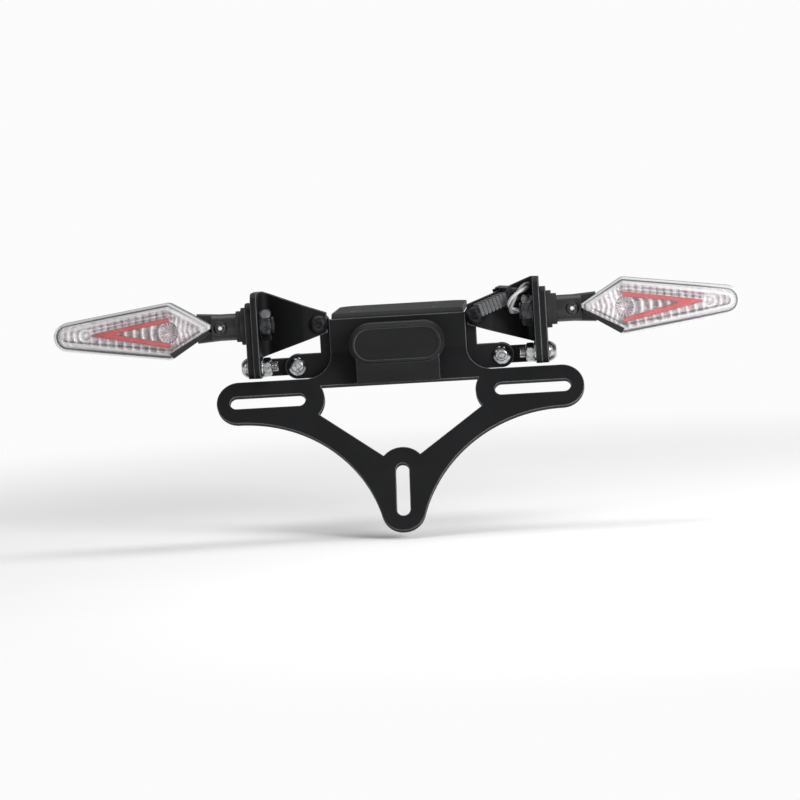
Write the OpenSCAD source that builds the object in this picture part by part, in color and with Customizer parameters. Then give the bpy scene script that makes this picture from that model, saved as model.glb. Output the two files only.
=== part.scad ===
// Motorbike tail tidy: folded steel number plate holder with lamp brackets, plate light and rear lamps.
// X is the bike's right, Y is forward, Z is up. The origin is the middle of the tail bolts, on the top face.

/* [Sheet] */
// Thickness of the folded steel sheet
sheet = 3; // [2:0.5:4]
// Inside radius of every fold
fold_radius = 3; // [2:0.5:3.5]

/* [Tail bracket] */
// Width of the top flange and of the face behind the centre panel
tail_width = 64; // [60:1:64]
// Length of the top flange, forward of the tail bolts' middle
tail_front = 38; // [32:1:60]
// Distance from the tail bolts' middle back to the centre panel's rear face
panel_back = 40; // [38:1:50]
// Spacing of the four tail bolt holes across the bike
tail_bolt_across = 40; // [30:1:44]
// Spacing of the four tail bolt holes along the bike
tail_bolt_along = 40; // [30:1:44]
// Diameter of the tail bolt holes
tail_bolt_hole = 6.5; // [5.5:0.1:8.5]
// Corner radius of the top flange
flange_corner = 10; // [4:1:12]

/* [Centre panel] */
// Width of the centre panel
panel_width = 66; // [64:1:66]
// Drop from the top face to the centre panel's top edge
panel_top = 2.2; // [1:0.1:3]
// Drop from the top face to the fold line of the plate holder
fold_drop = 18.3; // [17:0.1:22]
// Radius of the fillets between the panel and the ears
waist_fillet = 12.2; // [8:0.1:12.4]

/* [Plate holder] */
// Tilt of the number plate from upright
plate_tilt = 28; // [15:1:35]
// Distance between the centres of the two ear ends
ear_spread = 156; // [144:1:176]
// Height of an ear
ear_height = 21.5; // [18:0.5:23]
// Distance down the sheet from the fold line to the ears' middle
ear_drop = 23.9; // [23:0.1:26]
// Distance between the centres of the two plate slots
slot_spread = 128; // [120:1:132]
// Overall length of a plate slot
slot_length = 36.6; // [20:0.2:40]
// Width of every plate slot
slot_width = 6.4; // [5:0.1:7.5]
// Distance down the sheet from the fold line to the cut-out's top edge
cutout_drop = 17.3; // [14:0.1:18]
// Width of steel left round the inner end of a plate slot
slot_ring = 9.3; // [7:0.1:11]
// Slope of the two arms of the V
arm_slope = 37.5; // [34:0.5:40]
// Distance down the sheet to the point where the cut-out's two sloped sides would meet
cutout_point = 62.4; // [60:0.1:64]
// Distance down the sheet from the fold line to the middle of the rounded tip
tip_drop = 84; // [80:0.5:95]
// Radius of the rounded tip
tip_radius = 10.5; // [9:0.5:13]
// Distance down the sheet to the middle of the lower slot's upper end
low_slot_top = 63.1; // [61:0.1:66]
// Distance between the centres of the lower slot's two ends
low_slot_run = 20.6; // [10:0.1:21]
// Width of steel left round the upper end of the lower slot
low_slot_ring = 8.3; // [7:0.1:10]

/* [Lamp brackets] */
// Gap between the centre panel and each lamp bracket
bracket_gap = 1; // [0.6:0.1:1.5]
// Distance from the black bracket bolts to the first fold of a lamp bracket
tab_run = 5.5; // [5.5:0.1:7]
// Angle by which the web turns forward
web_angle = 27; // [22:1:30]
// Distance from the middle plane to the inner face of the end flange
flange_place = 66.5; // [66:0.1:69]
// Height of the web's upper edge at the centre panel
web_top_inner = 0.9; // [0.5:0.1:1.4]
// Height of the web's upper edge at the end flange
web_top_outer = 12.8; // [11:0.1:14]
// Depth of the web's lower edge at the centre panel
web_low_inner = 8.1; // [7.9:0.1:9]
// Depth of the web's lower edge at the end flange
web_low_outer = 19.2; // [18:0.1:19.4]
// Depth of the end flange's lower edge
flange_low = 28.5; // [28:0.1:28.8]
// Distance from the lamp axis back to the end flange's rear edge
flange_rear = 11.5; // [10.5:0.1:13]
// Corner radius of the end flange
end_corner = 6; // [3:0.5:8]
// Distance from the tail bracket's side edge to the black bracket bolts
tab_bolt_gap = 6; // [6:0.1:6.4]
// Depth of the black bracket bolts
tab_bolt_drop = 4.3; // [4:0.1:4.8]
// Distance from the middle plane to the bright stay bolts
stay_bolt_x = 49.6; // [48:0.1:50]
// Depth of the bright stay bolts
stay_bolt_drop = 24.3; // [24:0.1:24.5]
// Height of the stay strip at the foot of the end flange
stay_height = 8.4; // [8:0.1:8.6]
// Radius of the stay's rounded end
stay_end = 6; // [5.5:0.1:6.2]

/* [Fasteners] */
// Diameter of the bracket, stay, side and light bolts
bolt_size = 5; // [4:0.5:5]
// Clearance in diameter of a bolt in its hole
hole_clearance = 0.5; // [0.3:0.1:0.8]
// Clearance in diameter between a thread and its nut or boss
thread_clearance = 0.1; // [0.06:0.02:0.2]
// Thickness of the small washers
washer_thickness = 1; // [0.8:0.1:1.2]

/* [Adaptor plates] */
// Width of an adaptor plate
adaptor_width = 21; // [20:0.5:22]
// Height of an adaptor plate's upper edge above the lamp axis
adaptor_rise = 11; // [10:0.5:13]

/* [Plate light] */
// Width of the bare badge face
badge_width = 46; // [42:1:48]
// Height of the bare badge face
badge_height = 20.2; // [18:0.2:20.4]
// Depth of the badge's middle below the top face
badge_drop = 14.7; // [14.4:0.1:15]
// How far the badge stands off the centre panel
badge_depth = 16; // [15.6:0.2:18]
// Width of the bevel round the badge
badge_bevel = 1.8; // [1:0.1:2.2]
// Wall of the light's casing
casing_wall = 1.8; // [1.4:0.1:2]
// Width of the lamp box under the badge
box_width = 40; // [38:0.5:42]
// Depth of the lamp box's lower edge below the top face
box_low = 33.3; // [32.5:0.1:34]
// Gap between the lamp box and the tilted sheet
box_gap = 0.8; // [0.6:0.1:1]
// Distance between the two bolts of the light
light_bolt_spread = 28; // [26:1:30]
// Depth of the light's bolts below the top face
light_bolt_drop = 11; // [10.6:0.1:11.6]

/* [Rear lamps] */
// Depth of the lamp axis below the top face
lamp_drop = 3; // [2.5:0.1:3.4]
// Distance from the centre panel's rear face back to the lamp axis
lamp_back = 2.5; // [2.3:0.1:4]
// Distance from the middle plane to the lens's inner end
lens_inner = 89.5; // [89:0.5:92]
// Distance from the middle plane to the lens's widest place
lens_wide = 110; // [108:0.5:112]
// Distance from the middle plane to the lamp's outer tip
lens_tip = 165.5; // [160:0.5:175]
// Height of the lens at its widest place
lens_height = 27.6; // [25:0.2:30]
// Radius of the lens's rounded tip
lens_tip_radius = 7; // [6:0.5:8]
// Depth of the lens from its seam to its face
lens_depth = 10; // [9.6:0.2:12]
// Width of the sloped border round the lens face
lens_border = 4.6; // [4:0.1:5]
// Wall of the lens
lens_wall = 1.8; // [1.4:0.1:2]
// Depth of the black lamp body behind the seam
body_depth = 15; // [14.5:0.5:17]
// Wall of the lamp body
body_wall = 2; // [1.6:0.1:2.2]
// Width of the black chin along the lens's lower inner edge
chin_width = 3; // [2:0.1:3.6]
// Diameter of the stalk between the lamp body and the collar
stalk_size = 13; // [12.6:0.2:14]
// Diameter of the threaded stem
stem_size = 8; // [8:0.5:9]
// Diameter of the lead's way through the stem
stem_bore = 4.6; // [4.4:0.2:5]
// Length of each collar step
collar_step = 2.5; // [2:0.1:3]
// Width of a light guide's arm
guide_width = 2.4; // [1.8:0.1:3]
// Distance from the middle plane to the open ends of the light guide
guide_start = 109.3; // [108:0.1:112]
// Distance from the middle plane to the point of the light guide
guide_point = 147.5; // [140:0.5:150]
// Height between the light guide's open ends
guide_height = 15; // [12:0.5:16]

/* [Lead] */
// Diameter of the lamp lead
lead_size = 3.6; // [3:0.2:4]
// Length of the connector
plug_length = 22.5; // [21:0.5:23]
// Height of the connector
plug_height = 6.2; // [6:0.1:6.8]
// Depth of the connector
plug_depth = 6; // [5.5:0.1:6.5]

/* [Hidden] */
$fn = 64;
eps = 0.01;
merge = 1;
bolt_r = bolt_size / 2;
hole_r = (bolt_size + hole_clearance) / 2;
nut_bore_r = (bolt_size + thread_clearance) / 2;
nut_width = 1.6 * bolt_size;
nut_height = 0.8 * bolt_size;
head_r = 0.95 * bolt_size;
head_height = 0.55 * bolt_size;
outer_fold = fold_radius + sheet;
panel_rear = -panel_back;
panel_front = panel_rear + sheet;
face_front = panel_front + sheet;
half_panel = panel_width / 2;
ear_x = ear_spread / 2;
ear_r = ear_height / 2;
slot_r = slot_width / 2;
slot_x = slot_spread / 2;
slot_half = slot_length / 2 - slot_r;
ear_low = ear_drop + ear_r;
tip_run = tip_drop - ear_low;
sweep_r = (ear_x * ear_x + tip_run * tip_run - tip_radius * tip_radius) / (2 * (tip_run + tip_radius));
sweep_reach = sweep_r + tip_radius;
sweep_way = [ear_x, tip_drop - ear_low - sweep_r] / sweep_reach;
sweep_foot = [0, -tip_drop] + tip_radius * sweep_way + merge * [sweep_way[1], -sweep_way[0]];
bracket_start = half_panel + bracket_gap;
tab_bolt_x = max(tail_width / 2 + tab_bolt_gap, bracket_start + 0.8 * bolt_size);
tab_fold = tab_bolt_x + tab_run;
fold_one = [tab_fold, face_front + fold_radius - sheet];
web_run = (flange_place - fold_radius - tab_fold - (outer_fold + fold_radius) * sin(web_angle)) / cos(web_angle);
fold_two_y = fold_one[1] + web_run * sin(web_angle) - (outer_fold + fold_radius) * cos(web_angle);
lamp_y = panel_rear - lamp_back;
lamp_z = -lamp_drop;
flange_out = flange_place + sheet;
adaptor_out = flange_out + sheet;
collar_mid = adaptor_out + collar_step;
stalk_start = collar_mid + collar_step;
stay_front = face_front + sheet;
stay_fold_y = face_front - fold_radius;
washer_r = bolt_size;
stem_washer = 1.2;
stem_nut_height = 4.8;
stem_nut_width = stem_size + 5;
stem_end = flange_place - stem_washer - stem_nut_height - 1;
seam_y = lamp_y - 3;
lens_face = seam_y - lens_depth;
lens_corner = 4;
lens_edge = lens_face + lens_border * 0.7;
chin_reach = [lens_wide - lens_inner - 2, 3 + lens_corner - lens_height / 2];
chin_turn = asin(lens_corner / norm(chin_reach)) - atan2(chin_reach[1], chin_reach[0]);
chin_run = sqrt(chin_reach * chin_reach - lens_corner * lens_corner);
body_back = seam_y + body_depth;
floor_y = seam_y + 4.5;
board_y = floor_y + 1.2;
rib_top = lens_face + lens_wall + 3.6;
badge_face = panel_rear - badge_depth;
box_rear = badge_face + 1;
light_head = face_front + washer_thickness;
light_shank_end = panel_rear - 9;
screw_x = stalk_start + 7.5;
chip = 3.2;
outer_run = lens_tip - lens_wide;
chip_places = [lens_wide - 0.5, lens_wide + 0.285 * outer_run, lens_wide + 0.472 * outer_run];
plug_u = 1;
plug_z = 2;
plug_lift = 1.5;
web_slope = (web_top_outer - web_top_inner) / (flange_place - bracket_start) * cos(web_angle);
plug_turn = atan(web_slope);
tie_place = 0.28 * plug_length;
tie_size = 1;
tie_width = 2.6;
plug_x = fold_one[0] + outer_fold * sin(web_angle) + plug_u * cos(web_angle);
web_rise = (web_top_inner + (plug_x - bracket_start + 1) * web_slope / cos(web_angle) - plug_z) * cos(plug_turn);
tie_top = max(web_rise, plug_height / 2) + 0.3;
tie_low = plug_height / 2 + 0.5;
function plug_point(x) =
    let (u = plug_u + x * cos(plug_turn), off = outer_fold + plug_lift + plug_depth / 2)
    [fold_one[0] + u * cos(web_angle) + off * sin(web_angle),
     fold_one[1] + u * sin(web_angle) - off * cos(web_angle), plug_z + x * sin(plug_turn)];
lead_points = [
    plug_point(plug_length / 2 - 2.1), plug_point(plug_length / 2 + 0.7),
    [60.9, -37.45, 6.45], [62.3, -37.9, 7.3], [63.35, -39, 8.1], [63.95, -40.5, 8.7], [64, -42.2, 9],
    [63.65, -43.9, 9], [62.95, -45.45, 8.75], [61.95, -46.8, 8.15], [60.85, -47.9, 7.35], [59.65, -48.65, 6.35],
    [58.45, -49.1, 5.15], [57.35, -49.25, 3.8], [56.35, -49, 2.4], [55.6, -48.4, 0.95], [55.2, -47.4, -0.45], [55.2, -46.15, -1.6],
    [55.75, -44.7, -2.4], [56.8, -43.45, -2.85], [58.35, -42.65, -3], [60.2, -42.5, -3], [72, -42.5, -3]
];

// Shared shapes

module both_sides() {
    children();
    mirror([1, 0, 0]) children();
}

module left_side() {
    mirror([1, 0, 0]) children();
}

module rounded_plate(x0, y0, x1, y1, r) {
    translate([x0 + r, y0]) square([x1 - x0 - 2 * r, y1 - y0]);
    translate([x0, y0 + r]) square([x1 - x0, y1 - y0 - 2 * r]);
    for (x = [x0 + r, x1 - r], y = [y0 + r, y1 - r]) translate([x, y]) circle(r);
}

module slot_shape(run, r) {
    translate([-run, -r]) square([2 * run, 2 * r]);
    for (x = [-run, run]) translate([x, 0]) circle(r);
}

// Points along an arc about a centre
function arc_points(centre, r, from, to, steps = 12) =
    [for (i = [0 : steps]) let (a = from + (to - from) * i / steps) centre + r * [cos(a), sin(a)]];

// A quarter fold seen on edge, in the given quadrant
module quarter_fold(quadrant) {
    rotate(90 * quadrant) intersection() {
        difference() {
            circle(outer_fold);
            circle(fold_radius);
        }
        square(2 * outer_fold);
    }
}

// Stands a drawing of X and Z up, from the given Y forward
module upright(y, depth) {
    translate([0, y + depth, 0]) rotate([90, 0, 0]) linear_extrude(depth) children();
}

// Turns a drawing of Y and Z to face along X, from the given X outward
module sideways(x, depth) {
    translate([x, 0, 0]) rotate([90, 0, 90]) linear_extrude(depth) children();
}

// Drawing on the tilted sheet, with its Y axis up the sheet from the fold line
module on_plate(depth, lift = 0) {
    translate([0, panel_rear, -fold_drop]) rotate([90 - plate_tilt, 0, 0])
        translate([0, 0, lift - depth]) linear_extrude(depth) children();
}

module button_bolt(length) {
    difference() {
        union() {
            intersection() {
                cylinder(r = head_r, h = head_height);
                translate([0, 0, -0.335 * bolt_size]) sphere(1.008 * bolt_size);
            }
            translate([0, 0, -length]) cylinder(r = bolt_r, h = length + eps);
        }
        translate([0, 0, head_height - 0.32 * bolt_size]) cylinder(r = 0.346 * bolt_size, h = bolt_size, $fn = 6);
    }
}

module cap_bolt(length) {
    difference() {
        union() {
            cylinder(r = 0.85 * bolt_size, h = bolt_size);
            translate([0, 0, -length]) cylinder(r = bolt_r, h = length + eps);
        }
        translate([0, 0, 0.5 * bolt_size]) cylinder(r = 0.46 * bolt_size, h = bolt_size, $fn = 6);
    }
}

module hex_nut(width, height, bore) {
    corner = width / (2 * cos(30));
    difference() {
        intersection() {
            cylinder(r = corner, h = height, $fn = 6);
            union() {
                cylinder(r = corner + 1, h = height - 0.8);
                translate([0, 0, height - 0.8]) cylinder(r1 = corner, r2 = corner - 1.2, h = 0.8);
            }
        }
        translate([0, 0, -1]) cylinder(r = bore, h = height + 2);
    }
}

module washer(r, bore, height) {
    difference() {
        cylinder(r = r, h = height);
        translate([0, 0, -1]) cylinder(r = bore, h = height + 2);
    }
}

// Tail bracket: top flange, fold, face and the lugs that carry the lamp brackets

module tail_face_shape() {
    half = tail_width / 2;
    lug = tab_fold - tab_bolt_x;
    translate([-half, -stay_bolt_drop - stay_end]) square([tail_width, stay_bolt_drop + stay_end - outer_fold]);
    translate([-stay_bolt_x, -stay_bolt_drop - stay_end]) square([2 * stay_bolt_x, 2 * stay_end]);
    for (s = [-1, 1]) {
        translate([s * stay_bolt_x, -stay_bolt_drop]) circle(stay_end);
        translate([s * tab_bolt_x, -tab_bolt_drop]) circle(lug);
        translate([s * (half + tab_bolt_x) / 2 - (tab_bolt_x - half) / 2, -stay_bolt_drop])
            square([tab_bolt_x - half, stay_bolt_drop - outer_fold]);
    }
}

module tail_bracket() {
    color("#2b2c2e") difference() {
        union() {
            translate([0, 0, -sheet]) linear_extrude(sheet) {
                rounded_plate(
                    -tail_width / 2, panel_front + outer_fold + eps, tail_width / 2, tail_front, flange_corner);
                translate([-tail_width / 2, panel_front + outer_fold])
                    square([tail_width, flange_corner + tail_bolt_along / 4]);
            }
            sideways(-tail_width / 2, tail_width)
                translate([panel_front + outer_fold, -outer_fold]) quarter_fold(1);
            upright(panel_front, sheet) tail_face_shape();
        }
        for (x = [-1, 1], y = [-1, 1])
            translate([x * tail_bolt_across / 2, y * tail_bolt_along / 2, -sheet - 1])
                cylinder(d = tail_bolt_hole, h = sheet + 2);
        both_sides() bracket_holes();
        both_sides() light_hole();
    }
}

module bracket_holes() {
    upright(panel_rear - 1, 3 * sheet + 2) {
        translate([tab_bolt_x, -tab_bolt_drop]) circle(hole_r);
        translate([stay_bolt_x, -stay_bolt_drop]) circle(hole_r);
    }
}

module light_hole() {
    upright(panel_rear - 1, 2 * sheet + 2) translate([light_bolt_spread / 2, -light_bolt_drop]) circle(hole_r);
}

// Plate bracket: centre panel, fold and the V that the number plate bolts to

module plate_outline() {
    waist_low = ear_r - ear_drop;
    corner = waist_fillet - merge;
    translate([-half_panel, -ear_drop]) square([panel_width, ear_drop - 2 * merge]);
    translate([-ear_x, -ear_low]) square([ear_spread, ear_height]);
    for (s = [-1, 1]) {
        translate([s * ear_x, -ear_drop]) circle(ear_r);
        difference() {
            translate([s * (half_panel + corner / 2) - corner / 2, waist_low - merge]) square([corner, waist_fillet]);
            translate([s * (half_panel + waist_fillet), waist_low + waist_fillet]) circle(waist_fillet);
        }
    }
    difference() {
        polygon([
            [2 * merge - ear_x, merge - ear_low], [ear_x - 2 * merge, merge - ear_low], [ear_x - 2 * merge, -ear_low],
            sweep_foot, [-sweep_foot[0], sweep_foot[1]], [2 * merge - ear_x, -ear_low]
        ]);
        for (s = [-1, 1]) translate([s * ear_x, -ear_low - sweep_r]) circle(sweep_r);
    }
    translate([0, -tip_drop]) circle(tip_radius);
}

// The fold and the centre panel seen on edge, drawn up the sheet and off its rear face
module fold_profile() {
    start = fold_radius * tan(plate_tilt / 2);
    centre = [-start, fold_radius];
    rise = (fold_drop - start - panel_top) * [cos(plate_tilt), sin(plate_tilt)];
    outer = arc_points(centre, outer_fold, -90, plate_tilt - 90);
    inner = arc_points(centre, fold_radius, plate_tilt - 90, -90);
    polygon(concat(
        [[-4 * merge, -sheet]], outer, [outer[len(outer) - 1] + rise, inner[0] + rise], inner, [[-4 * merge, 0]]));
}

module plate_cutout() {
    side = slot_x - slot_half;
    side_v = -cutout_point + side * tan(arm_slope);
    difference() {
        polygon([[-side, -cutout_drop], [side, -cutout_drop], [side, side_v], [0, -cutout_point], [-side, side_v]]);
        for (s = [-1, 1]) translate([s * side, -ear_drop]) circle(slot_ring + slot_r);
        translate([0, -low_slot_top]) circle(low_slot_ring + slot_r);
    }
}

module plate_bracket() {
    color("#2b2c2e") difference() {
        union() {
            on_plate(sheet) plate_outline();
            translate([0, panel_rear, -fold_drop]) rotate([90 - plate_tilt, 0, 0])
                sideways(-half_panel, panel_width) fold_profile();
        }
        on_plate(3 * sheet, sheet) {
            plate_cutout();
            plate_slots();
        }
        both_sides() light_hole();
    }
}

module plate_slots() {
    for (s = [-1, 1]) translate([s * slot_x, -ear_drop]) slot_shape(slot_half, slot_r);
    translate([0, -low_slot_top - low_slot_run / 2]) rotate(90) slot_shape(low_slot_run / 2, slot_r);
}

// Lamp bracket: inner tab, slanted web, end flange and the stay strip at its foot

module bracket_plan() {
    fold_two = [flange_place - fold_radius, fold_two_y];
    rear = lamp_y - flange_rear;
    polygon(concat(
        [[bracket_start, panel_rear]],
        arc_points(fold_one, outer_fold, -90, web_angle - 90),
        arc_points(fold_two, fold_radius, web_angle + 90, 0),
        [[flange_place, rear], [flange_out, rear]],
        arc_points(fold_two, outer_fold, 0, web_angle + 90),
        arc_points(fold_one, fold_radius, web_angle - 90, -90),
        [[bracket_start, panel_front]]));
}

module web_shape() {
    polygon([
        [bracket_start - 1, -web_low_inner], [bracket_start - 1, web_top_inner],
        [flange_place - 1, web_top_outer], [flange_out + 1, web_top_outer],
        [flange_out + 1, -web_low_outer], [flange_place, -web_low_outer]
    ]);
}

module end_flange_shape() {
    intersection() {
        union() {
            translate([lamp_y - flange_rear, -web_low_outer])
                square([fold_two_y - lamp_y + flange_rear, web_low_outer + web_top_outer]);
            translate([lamp_y - flange_rear, -flange_low])
                square([stay_fold_y - lamp_y + flange_rear, flange_low]);
        }
        rounded_plate(lamp_y - flange_rear, -flange_low, 0, web_top_outer, end_corner);
    }
}

module stay_strip() {
    low = -stay_bolt_drop - stay_height / 2;
    translate([0, 0, low]) linear_extrude(stay_height)
        translate([flange_place - fold_radius, stay_fold_y]) quarter_fold(0);
    upright(face_front, sheet) {
        translate([stay_bolt_x, low]) square([flange_place - fold_radius - stay_bolt_x, stay_height]);
        translate([stay_bolt_x, -stay_bolt_drop]) circle(stay_end);
    }
    translate([flange_place, lamp_y, low]) cube([sheet, stay_fold_y - lamp_y, stay_height]);
}

module lamp_bracket() {
    difference() {
        union() {
            intersection() {
                translate([0, 0, -flange_low]) linear_extrude(2 * flange_low) bracket_plan();
                upright(panel_rear - 3 * flange_rear, 6 * flange_rear) web_shape();
                sideways(0, 2 * flange_place)
                    rounded_plate(lamp_y - flange_rear, -flange_low, 10, web_top_outer, end_corner);
            }
            sideways(flange_place, sheet) end_flange_shape();
            stay_strip();
        }
        bracket_holes();
        flange_holes();
    }
}

module flange_holes() {
    sideways(flange_place - 1, 2 * sheet + 2) {
        translate([lamp_y, lamp_z]) circle(stem_size / 2 + hole_clearance / 2);
        translate([lamp_y, -stay_bolt_drop + 1]) circle(hole_r);
    }
}

// Puts things on the rear face of the web: X outward along it, Y up, Z off the face
module on_web() {
    translate([fold_one[0], fold_one[1], 0]) rotate([0, 0, web_angle]) translate([0, -outer_fold, 0])
        rotate([90, 0, 0]) children();
}

module on_plug() {
    on_web() translate([plug_u, plug_z, plug_lift]) rotate(plug_turn) children();
}

// Hole below the connector for its tie, which passes over the web's upper edge
module tie_hole() {
    on_plug() translate([tie_place - tie_width / 2 - 0.3, -tie_low - tie_size - 0.4, -2 * sheet - plug_lift])
        cube([tie_width + 0.6, tie_size + 0.8, 3 * sheet]);
}

module adaptor_plate() {
    difference() {
        sideways(flange_out, sheet) rounded_plate(
            lamp_y - adaptor_width / 2, -flange_low, lamp_y + adaptor_width / 2, lamp_z + adaptor_rise, end_corner);
        flange_holes();
    }
}

module lamp_bracket_left() { color("#2b2c2e") left_side() lamp_bracket(); }
module lamp_bracket_right() {
    color("#2b2c2e") difference() {
        lamp_bracket();
        tie_hole();
    }
}
module adaptor_plate_left() { color("#2b2c2e") left_side() adaptor_plate(); }
module adaptor_plate_right() { color("#2b2c2e") adaptor_plate(); }

// Fasteners

module bracket_bolts() {
    color("#1d1d1f") both_sides() translate([tab_bolt_x, panel_rear, -tab_bolt_drop]) rotate([90, 0, 0])
        button_bolt(2 * sheet + nut_height + 1);
}

module bracket_nuts() {
    color("#b9bcc0") both_sides() translate([tab_bolt_x, face_front, -tab_bolt_drop]) rotate([-90, 0, 0])
        hex_nut(nut_width, nut_height, nut_bore_r);
}

module stay_bolts() {
    color("#c9ccd0") both_sides() translate([stay_bolt_x, panel_front, -stay_bolt_drop]) rotate([90, 0, 0])
        button_bolt(2 * sheet + nut_height + 1.5);
}

module stay_nuts() {
    color("#b9bcc0") both_sides() translate([stay_bolt_x, stay_front, -stay_bolt_drop]) rotate([-90, 0, 0])
        hex_nut(nut_width, nut_height, nut_bore_r);
}

module side_place(x) {
    both_sides() translate([x, lamp_y, 1 - stay_bolt_drop]) rotate([0, 90, 0]) children();
}

module side_bolts() {
    color("#c9ccd0") side_place(adaptor_out + washer_thickness)
        button_bolt(2 * sheet + 2 * washer_thickness + nut_height + 3);
}

module side_washers() {
    color("#c9ccd0") {
        side_place(adaptor_out) washer(washer_r, hole_r, washer_thickness);
        side_place(flange_place - washer_thickness) washer(washer_r, hole_r, washer_thickness);
    }
}

module side_nuts() {
    color("#c9ccd0") side_place(flange_place - washer_thickness) rotate([180, 0, 0])
        hex_nut(nut_width, nut_height, nut_bore_r);
}

module light_place(y) {
    both_sides() translate([light_bolt_spread / 2, y, -light_bolt_drop]) rotate([-90, 0, 0]) children();
}

module light_bolts() {
    color("#b9bcc0") light_place(light_head) cap_bolt(light_head - light_shank_end);
}

module light_washers() {
    color("#b9bcc0") light_place(face_front) washer(washer_r, hole_r, washer_thickness);
}

// Plate light: bare badge, lamp box, lens and board

module pill(width, height) {
    slot_shape((width - height) / 2, height / 2);
}

module badge_block() {
    run = (badge_width - badge_height) / 2;
    r = badge_height / 2;
    upright(badge_face + badge_bevel, badge_depth - badge_bevel) translate([0, -badge_drop])
        pill(badge_width, badge_height);
    for (s = [-1, 1]) translate([s * run, badge_face + badge_bevel, -badge_drop]) rotate([90, 0, 0])
        cylinder(r1 = r, r2 = r - badge_bevel, h = badge_bevel);
    sideways(-run, 2 * run) polygon([
        [badge_face + badge_bevel, -badge_drop - r], [badge_face + badge_bevel, r - badge_drop],
        [badge_face, r - badge_bevel - badge_drop], [badge_face, badge_bevel - badge_drop - r]
    ]);
}

// Front edge of the lamp box, which follows the tilted sheet, at a given depth and wall
function box_front(drop, wall) =
    panel_rear - (box_gap + wall) / cos(plate_tilt) - (drop - fold_drop) * tan(plate_tilt);

module lamp_box(wall) {
    top = badge_drop;
    low = wall > 0 ? box_low + 1 : box_low;
    sideways(wall - box_width / 2, box_width - 2 * wall) polygon([
        [box_rear + wall, -top], [box_rear + wall, -low],
        [box_front(low, wall), -low], [box_front(fold_drop, wall), -fold_drop], [box_front(fold_drop, wall), -top]
    ]);
}

module light_housing() {
    ledge = box_low - 6.2;
    color("#232426") difference() {
        union() {
            difference() {
                union() {
                    difference() {
                        badge_block();
                        sideways(-badge_width, 2 * badge_width) polygon([
                            [panel_rear + 1, -fold_drop + 1.5], [box_front(fold_drop, 0), -fold_drop],
                            [box_front(box_low, 0), -box_low], [panel_rear + 1, -box_low]
                        ]);
                    }
                    lamp_box(0);
                }
                upright(badge_face + 2 * casing_wall, badge_depth) translate([0, -badge_drop])
                    pill(badge_width - 2 * casing_wall, badge_height - 2 * casing_wall);
                lamp_box(casing_wall);
            }
            both_sides() intersection() {
                upright(badge_face + casing_wall, badge_depth - casing_wall)
                    translate([light_bolt_spread / 2, -light_bolt_drop]) circle(bolt_size * 0.9);
                upright(badge_face, badge_depth) translate([0, -badge_drop]) pill(badge_width, badge_height);
            }
            for (s = [-1, 1]) translate([s * (box_width / 2 - 2.5) - 1.5, box_rear + 1, -ledge - 1])
                cube([3, box_front(ledge, 1) - box_rear - 1, 1]);
        }
        upright(badge_face - 1, 1.7) translate([0, -badge_drop])
            pill(badge_width - 2 * badge_bevel - 1.6, badge_height - 2 * badge_bevel - 1.6);
        both_sides() upright(light_shank_end - 1, 20) translate([light_bolt_spread / 2, -light_bolt_drop])
            circle(nut_bore_r);
    }
}

module light_board() {
    ledge = box_low - 6.2;
    rear = box_rear + casing_wall + 0.1;
    color("#1f5a3a") translate([-box_width / 2 + casing_wall + 0.2, rear, -ledge])
        cube([box_width - 2 * casing_wall - 0.4, box_front(ledge, casing_wall) - 0.2 - rear, 1.2]);
    color("#f2efd8") for (x = [-9, 0, 9]) translate([x - 1.5, rear + 0.2, -ledge - 0.8]) cube([3, 2.4, 0.8 + eps]);
}

module light_lens() {
    rear = box_rear + casing_wall + 0.1;
    depth = box_front(box_low, casing_wall) - 0.1 - rear;
    half = box_width / 2 - casing_wall - 2.5;
    color("#e8eef2") {
        translate([-half, rear, -box_low]) cube([2 * half, depth, 5]);
        for (s = [-1, 1]) translate([s * (half + 1.2) - 1.2, rear, -box_low + 1]) cube([2.4, depth, 1.2]);
    }
}

// Rear lamps

// Outline of the lamp in X and Z, drawn in by the given amount
module lamp_shape(inset) {
    r = lens_corner;
    hull() {
        translate([lens_inner + 2 + inset, 0]) square([0.1, 6 - inset * 0.6], center = true);
        translate([lens_inner + inset, 0]) square([0.1, 4 - inset * 0.4], center = true);
        for (s = [-1, 1]) translate([lens_wide, s * (lens_height / 2 - r)]) circle(max(r - inset, 0.6), $fn = 24);
        translate([lens_tip - lens_tip_radius, 0]) circle(lens_tip_radius - inset, $fn = 40);
    }
}

module lamp_slab(inset, y, depth) {
    translate([0, 0, lamp_z]) upright(y, depth) lamp_shape(inset);
}

module lamp_loft(inset_rear, y_rear, inset_front, y_front) {
    hull() {
        lamp_slab(inset_rear, y_rear, eps);
        lamp_slab(inset_front, y_front - eps, eps);
    }
}

module lens_form() {
    lamp_loft(lens_border, lens_face, 0, lens_edge);
    lamp_slab(0, lens_edge - eps, seam_y - lens_edge + eps);
}

// The straight lower inner edge of the lamp: X runs down along it, Z points into the lamp
module on_chin() {
    translate([lens_inner + 2, 0, lamp_z - 3]) rotate([0, chin_turn, 0]) children();
}

// Band along that edge that belongs to the black body
module chin_band(gap) {
    on_chin() upright(lens_face - 1, lens_depth + 2) polygon([
        [-12, -30], [-12, chin_width / 3 + gap], [chin_run + gap, chin_width + gap], [chin_run + gap, -30]
    ]);
}

module chin() {
    w = chin_width + 1;
    front = lens_edge - 0.85 * w;
    intersection() {
        on_chin() sideways(-2, chin_run + 2) polygon([
            [seam_y + 0.6, 0], [lens_edge, 0], [front, w],
            [front + lens_wall, w], [lens_edge + lens_wall, 1], [seam_y + 0.6, 1]
        ]);
        chin_band(0);
    }
}

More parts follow.
